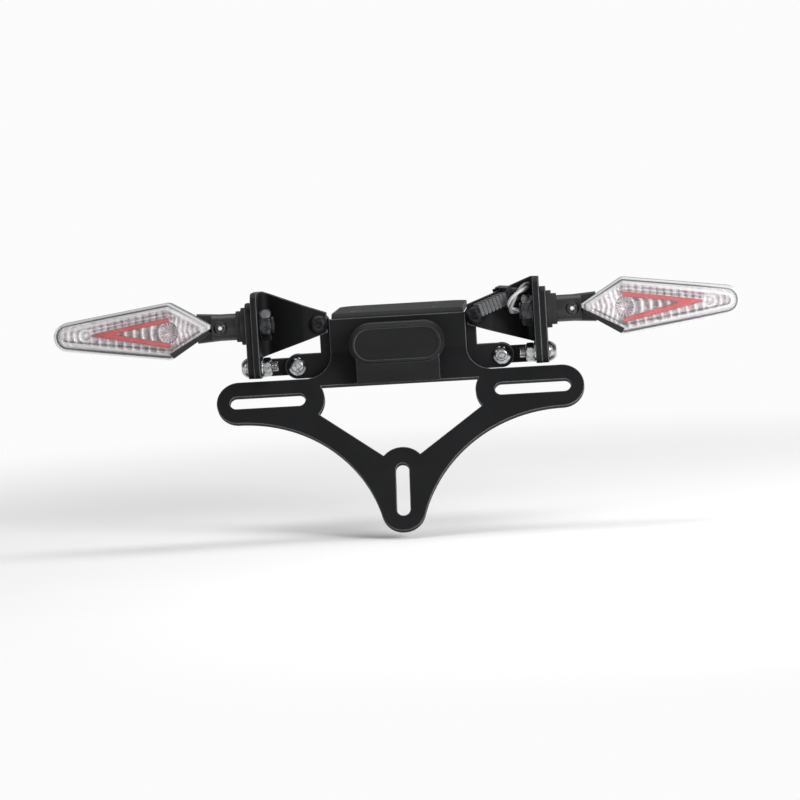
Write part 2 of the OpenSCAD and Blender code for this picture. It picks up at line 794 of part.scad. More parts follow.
module lamp_lens() {
    difference() {
        lens_form();
        lamp_loft(lens_border + 0.6, lens_face + lens_wall, lens_wall, lens_edge + lens_wall * 0.6);
        lamp_slab(lens_wall, lens_edge + lens_wall * 0.6 - eps, lens_depth);
        chin_band(0.1);
    }
}

module lamp_housing() {
    mid = seam_y + 5;
    chin();
    difference() {
        union() {
            lamp_slab(0.3, seam_y, mid - seam_y);
            lamp_loft(0.3, mid, 4, body_back);
            translate([stalk_start, lamp_y, lamp_z]) rotate([0, 90, 0])
                cylinder(d = stalk_size, h = lens_inner + 6 - stalk_start);
            translate([lens_inner - 4, lamp_y, lamp_z]) rotate([0, 90, 0])
                cylinder(d1 = stalk_size, d2 = stalk_size + 1.5, h = 11);
            translate([stem_end, lamp_y, lamp_z]) rotate([0, 90, 0])
                cylinder(d = stem_size, h = stalk_start - stem_end + 1);
        }
        difference() {
            union() {
                lamp_slab(body_wall + 0.3, seam_y - 1, mid - seam_y + 1 + eps);
                lamp_loft(body_wall + 0.3, mid, 4 + body_wall * 0.6, body_back - body_wall);
            }
            for (x = [lens_wide, lens_tip - 16]) translate([x, board_y, lamp_z]) rotate([-90, 0, 0])
                cylinder(d = 5, h = body_depth);
        }
        translate([0, seam_y - 20, lamp_z - 20]) translate([lens_inner - 0.3, 0, 0]) cube([12, 20, 40]);
        translate([stem_end - 1, lamp_y, lamp_z]) rotate([0, 90, 0])
            cylinder(d = stem_bore, h = lens_inner + 6 - stem_end);
        translate([screw_x, lamp_y - stalk_size / 2 + 1.4, lamp_z]) rotate([90, 0, 0]) cylinder(d = 6.8, h = 10);
        translate([screw_x, lamp_y - 2.5, lamp_z]) rotate([90, 0, 0]) cylinder(d = 2.6, h = 10);
    }
}

module bowl(x) {
    translate([x, floor_y, lamp_z - 0.7]) rotate([90, 0, 0]) difference() {
        cylinder(r = 5, h = floor_y - rib_top - 1.4);
        translate([0, 0, 0.6]) cylinder(r1 = 2.2, r2 = 4.4, h = floor_y - rib_top - 1.8);
    }
}

module lamp_reflector() {
    wall = 0.8;
    rim = seam_y - 3.2;
    in_rim = lens_wall + 0.5;
    in_floor = in_rim + 2.6;
    bar_run = (guide_point - lens_wide) / 37.5;
    difference() {
        union() {
            difference() {
                lamp_loft(in_rim, rim, in_floor, floor_y);
                lamp_loft(in_rim + wall, rim - 0.2, in_floor + wall, floor_y - wall);
            }
            bowl(lens_wide - 0.5);
            intersection() {
                for (i = [0 : 4]) translate([lens_wide + (8 + 5.2 * i) * bar_run, rib_top, lamp_z - 8])
                    cube([1.2, floor_y - rib_top - wall + eps, 16]);
                lamp_loft(in_rim + 0.6, rib_top - 3, in_floor + 0.2, floor_y);
            }
        }
        for (x = chip_places) translate([x - chip / 2 - 0.15, floor_y - 1, lamp_z - 0.85 - chip / 2])
            cube([chip + 0.3, 2, chip + 0.3]);
    }
}

module light_guide() {
    reach = guide_point - guide_start;
    slope = (guide_height / 2) / reach;
    w = guide_width * sqrt(1 + slope * slope);
    half = guide_height / 2;
    translate([0, 0, lamp_z - 0.7]) upright(rib_top - 2.4, 2.4) polygon([
        [guide_start, half], [guide_point, 0], [guide_start, -half],
        [guide_start, w - half], [guide_point - w / slope, 0], [guide_start, half - w]
    ]);
}

module lamp_board() {
    difference() {
        lamp_slab(lens_wall + 4, floor_y, board_y - floor_y);
        translate([0, floor_y - 5, lamp_z - lens_height]) cube([lens_wide - 11.5, 10, 2 * lens_height]);
    }
    for (x = chip_places) translate([x - chip / 2, floor_y - 0.7, lamp_z - 0.7 - chip / 2])
        cube([chip, 0.7 + eps, chip]);
}

module lamp_collar() {
    translate([adaptor_out, lamp_y, lamp_z]) rotate([0, 90, 0]) difference() {
        union() {
            cylinder(d = stalk_size + 5, h = collar_step);
            translate([0, 0, collar_step - eps]) cylinder(d = stalk_size + 2, h = collar_step + eps);
        }
        translate([0, 0, -1]) cylinder(d = stem_size + hole_clearance, h = 4 * collar_step);
    }
}

module lamp_housing_left() { color("#1c1d1f") left_side() lamp_housing(); }
module lamp_housing_right() { color("#1c1d1f") lamp_housing(); }
module lamp_lens_left() { color("#dfe4e8") left_side() lamp_lens(); }
module lamp_lens_right() { color("#dfe4e8") lamp_lens(); }
module lamp_reflector_left() { color("#c5c2c6") left_side() lamp_reflector(); }
module lamp_reflector_right() { color("#c5c2c6") lamp_reflector(); }
module light_guide_left() { color("#cc4a4e") left_side() light_guide(); }
module light_guide_right() { color("#cc4a4e") light_guide(); }
module lamp_board_left() { color("#1f5a3a") left_side() lamp_board(); }
module lamp_board_right() { color("#1f5a3a") lamp_board(); }
module lamp_collar_left() { color("#17181a") left_side() lamp_collar(); }
module lamp_collar_right() { color("#17181a") lamp_collar(); }

module stalk_screws() {
    color("#d5d8dc") both_sides() translate([screw_x, lamp_y - stalk_size / 2 + 1.4, lamp_z]) rotate([90, 0, 0])
        difference() {
            union() {
                intersection() {
                    cylinder(r = 3.1, h = 1.9);
                    translate([0, 0, -2.2]) sphere(4.3);
                }
                translate([0, 0, stalk_size / -2 + 3.9]) cylinder(r = 1.25, h = stalk_size / 2 - 3.8);
            }
            for (a = [0, 90]) rotate(a) translate([-1.9, -0.45, 0.9]) cube([3.8, 0.9, 3]);
        }
}

module stem_washers() {
    color("#c9ccd0") both_sides() translate([flange_place - stem_washer, lamp_y, lamp_z]) rotate([0, 90, 0])
        washer(stem_nut_width / 2 + 0.8, stem_size / 2 + 0.2, stem_washer);
}

module stem_nuts() {
    color("#c9ccd0") both_sides() translate([flange_place - stem_washer, lamp_y, lamp_z]) rotate([0, -90, 0])
        hex_nut(stem_nut_width, stem_nut_height, stem_size / 2 + thread_clearance / 2);
}

// Lead of the right lamp, with its connector tied to the web

module lamp_lead_right() {
    color("#d9d9d6") for (i = [1 : len(lead_points) - 1]) hull() {
        translate(lead_points[i - 1]) sphere(d = lead_size, $fn = 12);
        translate(lead_points[i]) sphere(d = lead_size, $fn = 12);
    }
}

module connector_right() {
    rib = 0.5;
    core = plug_height - 2 * rib;
    opening = 1.6;
    color("#8d9094") on_plug() difference() {
        union() {
            translate([-plug_length / 2, -core / 2, rib]) cube([plug_length, core, plug_depth - 2 * rib]);
            for (x = [0 : 2 : plug_length - 1.2]) if (abs(x + 0.6 - plug_length / 2 - tie_place) > 2)
                translate([x - plug_length / 2, -plug_height / 2, 0]) cube([1.2, plug_height, plug_depth]);
            translate([0.5, 0.7 - core / 2, -plug_lift]) cube([plug_length / 2 - 1.5, core - 1.4, plug_lift + 1]);
        }
        translate([-plug_length / 2 - 1, -plug_height / 2 + opening, opening])
            cube([plug_length / 3, plug_height - 2 * opening, plug_depth - 2 * opening]);
        translate([plug_length / 2 - 4, 0, plug_depth / 2]) rotate([0, 90, 0]) cylinder(d = lead_size + 0.2, h = 8);
    }
}

module cable_tie() {
    depth = plug_lift + plug_depth + sheet;
    color("#151617") on_plug() translate([tie_place, 0, -plug_lift - sheet]) difference() {
        union() {
            translate([-tie_width / 2, -tie_low - tie_size, -tie_size])
                cube([tie_width, tie_low + tie_top + 2 * tie_size, depth + 2 * tie_size]);
            translate([-tie_width / 2 - 0.9, tie_top - 3, -tie_size - 2]) cube([tie_width + 1.8, 3.2, 2 + eps]);
        }
        translate([-tie_width, -tie_low, 0]) cube([2 * tie_width, tie_low + tie_top, depth]);
    }
}

tail_bracket();
plate_bracket();
lamp_bracket_left();
lamp_bracket_right();
adaptor_plate_left();
adaptor_plate_right();
bracket_bolts();
bracket_nuts();
stay_bolts();
stay_nuts();
side_bolts();
side_washers();
side_nuts();
light_housing();
light_lens();
light_board();
light_bolts();
light_washers();
lamp_housing_left();
lamp_housing_right();
lamp_lens_left();
lamp_lens_right();
lamp_reflector_left();
lamp_reflector_right();
light_guide_left();
light_guide_right();
lamp_board_left();
lamp_board_right();
lamp_collar_left();
lamp_collar_right();
stalk_screws();
stem_washers();
stem_nuts();
lamp_lead_right();
connector_right();
cable_tie();
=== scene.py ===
"""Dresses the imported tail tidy: finishes, threaded fasteners, lamp optics, lead, lights and camera."""

from __future__ import annotations

import logging
import math
from dataclasses import dataclass, field, replace
from enum import Enum
from typing import Any, Sequence

import bpy
import numpy as np
from mathutils import Matrix, Vector

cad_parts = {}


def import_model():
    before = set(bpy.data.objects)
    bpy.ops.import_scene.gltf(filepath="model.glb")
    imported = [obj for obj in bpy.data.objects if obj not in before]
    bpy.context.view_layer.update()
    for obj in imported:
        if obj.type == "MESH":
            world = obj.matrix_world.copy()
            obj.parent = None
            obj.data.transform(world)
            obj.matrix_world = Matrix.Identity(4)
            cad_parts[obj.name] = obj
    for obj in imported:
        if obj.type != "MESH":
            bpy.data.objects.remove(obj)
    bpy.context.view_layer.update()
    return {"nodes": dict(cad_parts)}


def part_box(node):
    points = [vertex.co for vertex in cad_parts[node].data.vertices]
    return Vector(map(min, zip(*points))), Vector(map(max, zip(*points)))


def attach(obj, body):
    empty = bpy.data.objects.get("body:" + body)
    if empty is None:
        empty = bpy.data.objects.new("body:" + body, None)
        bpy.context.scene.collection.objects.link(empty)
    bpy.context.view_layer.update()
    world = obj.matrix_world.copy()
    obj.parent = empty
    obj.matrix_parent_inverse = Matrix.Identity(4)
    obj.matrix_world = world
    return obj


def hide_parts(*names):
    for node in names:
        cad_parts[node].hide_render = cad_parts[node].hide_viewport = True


LOG = logging.getLogger("tail_tidy")
MM = 0.001
Colour = tuple[float, float, float]
Array = np.ndarray


class Side(Enum):
    """The two sides of the tail tidy."""

    LEFT = -1
    RIGHT = 1

    @property
    def word(self) -> str:
        """The side's name in piece names."""
        return self.name.lower()


class Slot(Enum):
    """The record's material slot names."""

    BLACK_BOLT = "black_bolt"
    BRIGHT = "bright_fastener"
    CLEAR = "lens_clear"
    REFLECTOR = "reflector"
    GUIDE = "guide_red"
    COLLAR = "collar_rubber"
    LEAD = "lead_white"


class Head(Enum):
    """The two kinds of bolt head."""

    BUTTON = "button"
    CAP = "cap"


# Meshes


@dataclass
class Shell:
    """A mesh as arrays: points in millimetres, with quads and triangles as rows of indices.

    marks holds a number from 0 to 1 for each point where a finish follows the shape, or is empty.
    """

    points: Array
    quads: Array
    tris: Array = field(default_factory=lambda: np.zeros((0, 3), int))
    marks: Array = field(default_factory=lambda: np.zeros(0))

    def volume(self) -> float:
        """Signed volume: the sum of a . (b x c) / 6 over the triangles, negative if inside out."""
        tris = np.vstack([self.quads[:, [0, 1, 2]], self.quads[:, [0, 2, 3]], self.tris]).astype(int)
        a, b, c = (self.points[tris[:, k]] for k in range(3))
        return float(np.einsum("ij,ij->i", a, np.cross(b, c)).sum() / 6)

    def outward(self) -> "Shell":
        """The same closed shell with its faces pointing out."""
        if self.volume() >= 0:
            return self
        return replace(self, quads=self.quads[:, ::-1], tris=self.tris[:, ::-1])

    def placed(self, origin: Sequence[float], axis: Sequence[float], across: Sequence[float]) -> "Shell":
        """Stands the shell up: its Z goes along axis and its X along across, from origin.

        Args:
            origin: where the shell's own origin goes, in millimetres.
            axis: direction of the shell's Z.
            across: direction of the shell's X, at right angles to axis.

        Returns:
            The placed shell, facing outward.
        """
        z = np.asarray(axis, float) / np.linalg.norm(axis)
        x = np.asarray(across, float) / np.linalg.norm(across)
        turn = np.stack([x, np.cross(z, x), z])
        return replace(self, points=self.points @ turn + np.asarray(origin, float)).outward()

    def mirrored(self) -> "Shell":
        """The shell's mirror image, x to -x."""
        return replace(self, points=self.points * [-1, 1, 1]).outward()

    def on(self, side: Side) -> "Shell":
        """The shell as drawn for the right, or its mirror image for the left."""
        return self if side is Side.RIGHT else self.mirrored()

    @staticmethod
    def joined(shells: Sequence["Shell"]) -> "Shell":
        """Several shells as one mesh.

        Args:
            shells: the shells, which keep their own faces.

        Returns:
            One shell that holds them all.
        """
        starts = np.cumsum([0] + [len(s.points) for s in shells[:-1]])
        return Shell(
            np.vstack([s.points for s in shells]),
            np.vstack([s.quads + n for s, n in zip(shells, starts)]),
            np.vstack([s.tris + n for s, n in zip(shells, starts)]),
            np.concatenate([s.marks for s in shells]),
        )


def grid_shell(points: Array, wrap_rows: bool = False, cap_ends: bool = False) -> Shell:
    """Joins a grid of points with quads, point (i, j) to (i, j + 1), (i + 1, j + 1) and (i + 1, j).

    Args:
        points: rows x columns x 3. The last column joins the first.
        wrap_rows: the last row joins the first.
        cap_ends: the first and last rows are closed with a fan round their middles.

    Returns:
        The shell, facing outward when it is closed.
    """
    rows, cols = points.shape[:2]
    index = np.arange(rows * cols).reshape(rows, cols)
    if wrap_rows:
        index = np.vstack([index, index[:1]])
    index = np.hstack([index, index[:, :1]])
    quads = np.stack([index[:-1, :-1], index[:-1, 1:], index[1:, 1:], index[1:, :-1]], axis=-1)
    flat = points.reshape(-1, 3)
    tris = np.zeros((0, 3), int)
    if cap_ends:
        flat = np.vstack([flat, points[0].mean(0), points[-1].mean(0)])
        first, last = index[0], index[-1]
        middle = np.full(cols, rows * cols)
        fans = ((first[1:], first[:-1], middle), (last[:-1], last[1:], middle + 1))
        tris = np.vstack([np.stack(fan, axis=-1) for fan in fans])
    return Shell(flat, quads.reshape(-1, 4), tris).outward()


def mesh_object(name: str, shell: Shell, sharp_deg: float = 35.0) -> bpy.types.Object:
    """Puts a shell into Blender in metres, smooth but for edges sharper than the given angle.

    Args:
        name: the object's name.
        shell: the mesh in millimetres.
        sharp_deg: an edge that turns by more than this stays sharp.

    Returns:
        The linked object, at the origin.
    """
    mesh = bpy.data.meshes.new(name)
    sizes = np.concatenate([np.full(len(shell.quads), 4), np.full(len(shell.tris), 3)]).astype(np.int32)
    loops = np.concatenate([shell.quads.ravel(), shell.tris.ravel()]).astype(np.int32)
    mesh.vertices.add(len(shell.points))
    mesh.vertices.foreach_set("co", (shell.points * MM).astype(np.float32).ravel())
    mesh.loops.add(len(loops))
    mesh.loops.foreach_set("vertex_index", loops)
    mesh.polygons.add(len(sizes))
    mesh.polygons.foreach_set("loop_start", np.concatenate([[0], np.cumsum(sizes)[:-1]]).astype(np.int32))
    mesh.polygons.foreach_set("use_smooth", np.ones(len(sizes), bool))
    mesh.update(calc_edges=True)
    mesh.validate()
    mesh.set_sharp_from_angle(angle=math.radians(sharp_deg))
    if len(shell.marks) == len(shell.points):
        marks = mesh.attributes.new("mark", "FLOAT", "POINT")
        marks.data.foreach_set("value", shell.marks.astype(np.float32))
    made = bpy.data.objects.new(name, mesh)
    bpy.context.scene.collection.objects.link(made)
    return made


def triangle_wave(turns: Array) -> Array:
    """A wave of straight flanks: 0 at whole turns, 1 half-way between them."""
    part = turns - np.floor(turns)
    return 1 - np.abs(2 * part - 1)


def ease(value: Array, low: float, high: float) -> Array:
    """Smooth step: 3t^2 - 2t^3 for t, the value's share of the way from low to high, kept in 0 to 1."""
    t = np.clip((value - low) / (high - low), 0, 1)
    return t * t * (3 - 2 * t)


def hexagon(angle: Array, flats: float) -> Array:
    """Radius of a hexagon with a corner at 0: half its flats / cos(angle off the middle of a flat)."""
    off = np.mod(angle, math.pi / 3) - math.pi / 6
    return flats / 2 / np.cos(off)


def around(count: int) -> Array:
    """Angles in equal steps round a full turn."""
    return np.arange(count) * 2 * math.pi / count


def turned(radius: Array, height: Array, angle: Array) -> Array:
    """Points about Z: x = radius x cos(angle), y = radius x sin(angle), z = height."""
    r, z, a = np.broadcast_arrays(radius, height, angle)
    return np.stack([r * np.cos(a), r * np.sin(a), z], axis=-1)


def walked(line: Array) -> Array:
    """Distance along a line at each of its points, from 0 at the first."""
    return np.concatenate([[0], np.cumsum(np.linalg.norm(np.diff(line, axis=0), axis=1))])


# Shaders


class Signal:
    """A shader socket that takes part in Python arithmetic by adding Math nodes."""

    def __init__(self, graph: "Graph", socket: bpy.types.NodeSocket) -> None:
        """Wraps one output socket of a graph."""
        self.graph = graph
        self.socket = socket

    def maths(self, operation: str, *others: "Signal | float") -> "Signal":
        """One Math node on this value and up to two others."""
        inputs = dict(enumerate((self, *others)))
        return self.graph.value("ShaderNodeMath", {"operation": operation}, inputs)

    def __add__(self, other: "Signal | float") -> "Signal":
        """self + other."""
        return self.maths("ADD", other)

    def __sub__(self, other: "Signal | float") -> "Signal":
        """self - other."""
        return self.maths("SUBTRACT", other)

    def __rsub__(self, other: float) -> "Signal":
        """other - self."""
        return self.graph.value("ShaderNodeMath", {"operation": "SUBTRACT"}, {0: other, 1: self})

    def __mul__(self, other: "Signal | float") -> "Signal":
        """self x other."""
        return self.maths("MULTIPLY", other)

    def __truediv__(self, other: "Signal | float") -> "Signal":
        """self / other."""
        return self.maths("DIVIDE", other)

    __radd__ = __add__
    __rmul__ = __mul__

    def most(self, other: "Signal | float") -> "Signal":
        """The larger of the two."""
        return self.maths("MAXIMUM", other)

    def eased(self, low: float, high: float) -> "Signal":
        """0 below low, 1 above high, and a smooth step between."""
        return self.graph.value(
            "ShaderNodeMapRange",
            {"interpolation_type": "SMOOTHSTEP"},
            {"Value": self, "From Min": low, "From Max": high},
        )


Shade = Signal | float | Colour


class Graph:
    """The node tree of one material or of the world."""

    def __init__(self, owner: bpy.types.ID) -> None:
        """Empties the owner's node tree and takes it over."""
        owner.use_nodes = True
        self.tree = owner.node_tree
        self.tree.nodes.clear()

    def node(
        self, kind: str, settings: dict[str, Any] | None = None, inputs: dict[Any, Any] | None = None
    ) -> bpy.types.Node:
        """Makes any node.

        Args:
            kind: the node's type.
            settings: its properties, set first; "stops" gives a ramp's places and colours.
            inputs: numbers, colours or Signals by socket name or number.

        Returns:
            The new node.
        """
        made = self.tree.nodes.new(kind)
        for name, value in (settings or {}).items():
            if name == "stops":
                ramp = made.color_ramp
                for i, (place, colour) in enumerate(value):
                    stop = ramp.elements[i] if i < 2 else ramp.elements.new(place)
                    stop.position, stop.color = place, (*colour, 1.0)
            else:
                setattr(made, name, value)
        for name, value in (inputs or {}).items():
            if isinstance(value, Signal):
                self.tree.links.new(value.socket, made.inputs[name])
            elif isinstance(value, tuple) and len(value) == 3 and made.inputs[name].type == "RGBA":
                made.inputs[name].default_value = (*value, 1.0)
            else:
                made.inputs[name].default_value = value
        return made

    def value(
        self,
        kind: str,
        settings: dict[str, Any] | None = None,
        inputs: dict[Any, Any] | None = None,
        output: int | str = 0,
    ) -> Signal:
        """Makes a node and wraps one of its outputs."""
        return Signal(self, self.node(kind, settings, inputs).outputs[output])

    def place(self) -> Signal:
        """Object coordinates, in metres."""
        return self.value("ShaderNodeTexCoord", output="Object")

    def part(self, vector: Signal, axis: str) -> Signal:
        """One coordinate of a vector."""
        return self.value("ShaderNodeSeparateXYZ", {}, {0: vector}, axis)

    def true_normal(self) -> Signal:
        """The normal of the flat face itself."""
        return self.value("ShaderNodeNewGeometry", output="True Normal")

    def mark(self) -> Signal:
        """The piece's own marks, from 0 to 1."""
        return self.value("ShaderNodeAttribute", {"attribute_name": "mark"}, output="Fac")

    def ramp(self, value: Signal, stops: Sequence[tuple[float, float]]) -> Signal:
        """A number read off a line through the given places and heights."""
        grey = [(place, (height,) * 3) for place, height in stops]
        return self.value("ShaderNodeValToRGB", {"stops": grey}, {"Fac": value}, "Color")

    def stretched(self, vector: Signal, scale: Sequence[float], turn: Sequence[float] = (0, 0, 0)) -> Signal:
        """Coordinates turned, then scaled along each axis."""
        return self.value(
            "ShaderNodeMapping", {}, {"Vector": vector, "Scale": tuple(scale), "Rotation": tuple(turn)}
        )

    def noise(self, vector: Signal, per_mm: float, detail: float = 3.0, roughness: float = 0.5) -> Signal:
        """Smooth noise from 0 to 1, with the given number of patches per millimetre."""
        return self.value(
            "ShaderNodeTexNoise",
            {"noise_dimensions": "3D"},
            {"Vector": vector, "Scale": per_mm / MM, "Detail": detail, "Roughness": roughness},
        )

    def cells(self, vector: Signal, per_mm: float, output: str = "Distance") -> Signal:
        """Voronoi cells, with the given number per millimetre."""
        return self.value("ShaderNodeTexVoronoi", {}, {"Vector": vector, "Scale": per_mm / MM}, output)

    def mixed(self, factor: Shade, first: Shade, second: Shade) -> Signal:
        """A colour between two others."""
        return self.value("ShaderNodeMix", {"data_type": "RGBA"}, {0: factor, 6: first, 7: second}, 2)

    def edges(self, radius_mm: float, gain: float) -> tuple[Signal, Signal]:
        """The rounded normal near edges, and a mask that rises to 1 on them.

        Args:
            radius_mm: how far from an edge the rounding reaches.
            gain: how fast the mask rises as the rounded normal leaves the true one.

        Returns:
            The normal and the mask.
        """
        rounded = self.value("ShaderNodeBevel", {"samples": 6}, {"Radius": radius_mm * MM})
        product = {"operation": "DOT_PRODUCT"}
        along = self.value("ShaderNodeVectorMath", product, {0: rounded, 1: self.true_normal()}, "Value")
        return rounded, ((1 - along) * gain).maths("MINIMUM", 1.0)

    def bump(self, height: Signal, depth_mm: float, normal: Signal | None = None) -> Signal:
        """A bumped normal, where a height of 1 stands depth_mm proud."""
        inputs: dict[str, Any] = {"Height": height, "Distance": depth_mm * MM, "Strength": 1.0}
        if normal is not None:
            inputs["Normal"] = normal
        return self.value("ShaderNodeBump", {}, inputs, "Normal")

    def surface(
        self, tone: Shade, rough: Shade, normal: Signal, others: dict[str, Any] | None = None
    ) -> None:
        """Ends the graph in a Principled shader.

        Args:
            tone: the base colour.
            rough: the roughness.
            normal: the bumped normal.
            others: any more sockets by name, such as a constant sheen or a varying alpha.
        """
        inputs = {"Base Color": tone, "Roughness": rough, "Normal": normal, **(others or {})}
        shader = self.value("ShaderNodeBsdfPrincipled", {}, inputs, "BSDF")
        self.node("ShaderNodeOutputMaterial", {}, {"Surface": shader})


# Finishes

POLYCARBONATE_IOR = 1.58


@dataclass(frozen=True)
class Finish:
    """A named finish; each kind paints its own graph."""

    name: str

    def paint(self, graph: Graph) -> None:
        """Builds the finish's nodes in the graph."""
        raise NotImplementedError

    def material(self) -> bpy.types.Material:
        """The finish's material, made once."""
        found = bpy.data.materials.get(self.name)
        if found is None:
            found = bpy.data.materials.new(self.name)
            self.paint(Graph(found))
        return found


@dataclass(frozen=True)
class PowderCoat(Finish):
    """Satin black powder coat on laser-cut steel, with paler edges: partly the thinner coat there, mostly a
    painted highlight.
    """

    colour: Colour = (0.0050, 0.0052, 0.0057)
    # edge_colour is mostly a painted highlight on the cut edges, with a little of the thinner coat's
    # paleness.
    edge_colour: Colour = (0.21, 0.215, 0.225)
    speck_colour: Colour = (0.05, 0.05, 0.053)
    edge_mm: float = 0.75
    peel_per_mm: float = 0.9
    sheen: float = 0.17

    def paint(self, graph: Graph) -> None:
        """Orange peel in bump and roughness, faint mottling, and paler cut edges: partly a thinner coat,
        mostly a painted highlight.
        """
        place = graph.place()
        peel = graph.noise(place, self.peel_per_mm, 2.0, 0.45)
        fine = graph.noise(place, 5.0, 2.0, 0.6)
        cloud = graph.noise(place, 0.045, 3.0, 0.55)
        specks = graph.cells(place, 0.55).eased(0.11, 0.04) * graph.noise(place, 0.12).eased(0.52, 0.66)
        rounded, edge = graph.edges(self.edge_mm, 4.2)
        # Patchy painted highlight along the cut edges, with some real thinning of the coat: it lightens the
        # tone and lowers the roughness.
        edge_wear_and_highlight = (edge * (0.45 + graph.noise(place, 0.16, 3.0) * 0.9)).maths("MINIMUM", 1.0)
        body = graph.mixed(cloud.eased(0.3, 0.75), self.colour, tuple(c * 1.45 for c in self.colour))
        body = graph.mixed(specks * 0.4, body, self.speck_colour)
        tone = graph.mixed(edge_wear_and_highlight, body, self.edge_colour)
        rough = 0.45 + peel * 0.09 + fine * 0.05 + cloud * 0.07 - edge_wear_and_highlight * 0.12
        normal = graph.bump(peel * 0.8 + fine * 0.2, 0.035, rounded)
        graph.surface(tone, rough, normal, {"Specular IOR Level": self.sheen})


@dataclass(frozen=True)
class MouldedPlastic(Finish):
    """Moulded plastic or rubber with a spark-eroded grain."""

    colour: Colour = (0.0125, 0.0128, 0.0135)
    # edge_colour is mostly a painted highlight on rims and edges, with a little rubbing.
    edge_colour: Colour = (0.085, 0.087, 0.09)
    grain_per_mm: float = 3.0
    grain_mm: float = 0.03
    roughness: float = 0.42
    edge_mm: float = 0.4
    sheen: float = 0.28

    def paint(self, graph: Graph) -> None:
        """Fine grain in bump, flow marks in roughness, and lighter edges: a little rubbing and mostly a
        painted highlight.
        """
        place = graph.place()
        grain = graph.noise(place, self.grain_per_mm, 3.0, 0.65)
        flow = graph.noise(graph.stretched(place, (0.35, 1.0, 1.6)), 0.09, 3.0, 0.6)
        rounded, edge = graph.edges(self.edge_mm, 2.6)
        # Patchy painted highlight along the edges, with a little rubbing.
        edge_rub_and_highlight = edge * (0.35 + graph.noise(place, 0.2, 2.0) * 0.8)
        body = graph.mixed(flow.eased(0.35, 0.7), self.colour, tuple(c * 1.35 for c in self.colour))
        body = graph.mixed(grain.eased(0.45, 0.7) * 0.35, body, tuple(c * 1.9 for c in self.colour))
        tone = graph.mixed(edge_rub_and_highlight, body, self.edge_colour)
        rough = self.roughness - 0.06 + grain * 0.12 + flow * 0.08 - edge_rub_and_highlight * 0.1
        normal = graph.bump(grain, self.grain_mm, rounded)
        graph.surface(tone, rough, normal, {"Specular IOR Level": self.sheen})


@dataclass(frozen=True)
class BrightMetal(Finish):
    """Plated or stainless steel, drawn and lightly scratched."""

    colour: Colour = (0.56, 0.57, 0.585)
    shade: Colour = (0.20, 0.205, 0.22)
    edge_colour: Colour = (0.75, 0.76, 0.78)
    roughness: float = 0.15

    def paint(self, graph: Graph) -> None:
        """Clouded plating, fine scratches one way and grime in the roughness."""
        place = graph.place()
        cloud = graph.noise(place, 0.5, 3.0, 0.6)
        scratch = graph.noise(graph.stretched(place, (1.0, 9.0, 1.4), (0.3, 0.2, 0.5)), 1.4, 3.0, 0.7)
        rounded, edge = graph.edges(0.18, 2.0)
        tone = graph.mixed(cloud.eased(0.36, 0.72), self.colour, self.shade)
        tone = graph.mixed(edge * 0.4, tone, self.edge_colour)
        rough = self.roughness + cloud * 0.1 + scratch * 0.1
        graph.surface(tone, rough, graph.bump(scratch, 0.008, rounded), {"Metallic": 1.0})


@dataclass(frozen=True)
class ScrewHead(Finish):
    """A blacked screw with a painted glint of bright steel round its recess."""

    plating: Colour = (0.05, 0.051, 0.055)
    # steel is the colour of the painted glint at the middle of the head.
    steel: Colour = (0.92, 0.93, 0.95)

    def paint(self, graph: Graph) -> None:
        """Dark plating that gives way to a painted glint of bright steel as the mark rises."""
        place = graph.place()
        wear = graph.noise(place, 1.2, 3.0, 0.6)
        rounded, edge = graph.edges(0.15, 2.0)
        # Painted glint: bright steel laid on by the marks at the head's middle, and a little on its edges.
        painted_glint = (graph.mark() * (0.6 + wear * 0.7) + edge * 0.25).maths("MINIMUM", 1.0)
        tone = graph.mixed(painted_glint, self.plating, self.steel)
        rough = 0.3 - painted_glint * 0.12 + wear * 0.08
        graph.surface(tone, rough, graph.bump(wear, 0.01, rounded), {"Metallic": 0.8})


@dataclass(frozen=True)
class BlackBolt(Finish):
    """Black zinc plating that shows a little steel on its edges."""

    colour: Colour = (0.012, 0.0125, 0.014)
    blotched: Colour = (0.03, 0.031, 0.034)
    steel: Colour = (0.2, 0.2, 0.21)

    def paint(self, graph: Graph) -> None:
        """Dark metal, blotched, with steel showing on its edges."""
        place = graph.place()
        blotch = graph.noise(place, 0.7, 3.0, 0.6)
        rounded, edge = graph.edges(0.2, 2.4)
        edge_wear_and_highlight = edge * blotch.eased(0.35, 0.7)
        tone = graph.mixed(blotch.eased(0.4, 0.65), self.colour, self.blotched)
        tone = graph.mixed(edge_wear_and_highlight * 0.7, tone, self.steel)
        graph.surface(tone, 0.34 + blotch * 0.15, graph.bump(blotch, 0.01, rounded), {"Metallic": 0.75})


@dataclass(frozen=True)
class ClearLens(Finish):
    """Clear lamp plastic, milkier where its walls turn edge on."""

    tint: Colour = (0.86, 0.85, 0.87)
    rim_tint: Colour = (0.95, 0.95, 0.97)
    face: float = 0.16
    rim: float = 0.62

    def paint(self, graph: Graph) -> None:
        """See-through faces with paler, denser rims, fine haze and faint ripples."""
        place = graph.place()
        rounded, edge = graph.edges(0.7, 2.2)
        haze = graph.noise(place, 0.25, 3.0, 0.6)
        ripple = graph.noise(place, 0.35, 2.0, 0.4)
        alpha = self.face + edge * (self.rim - self.face) + haze.eased(0.5, 0.8) * 0.07
        tone = graph.mixed(edge, self.tint, self.rim_tint)
        clear = {"Alpha": alpha, "IOR": POLYCARBONATE_IOR, "Specular IOR Level": 0.9}
        graph.surface(tone, 0.05 + haze * 0.08, graph.bump(ripple, 0.06, rounded), clear)


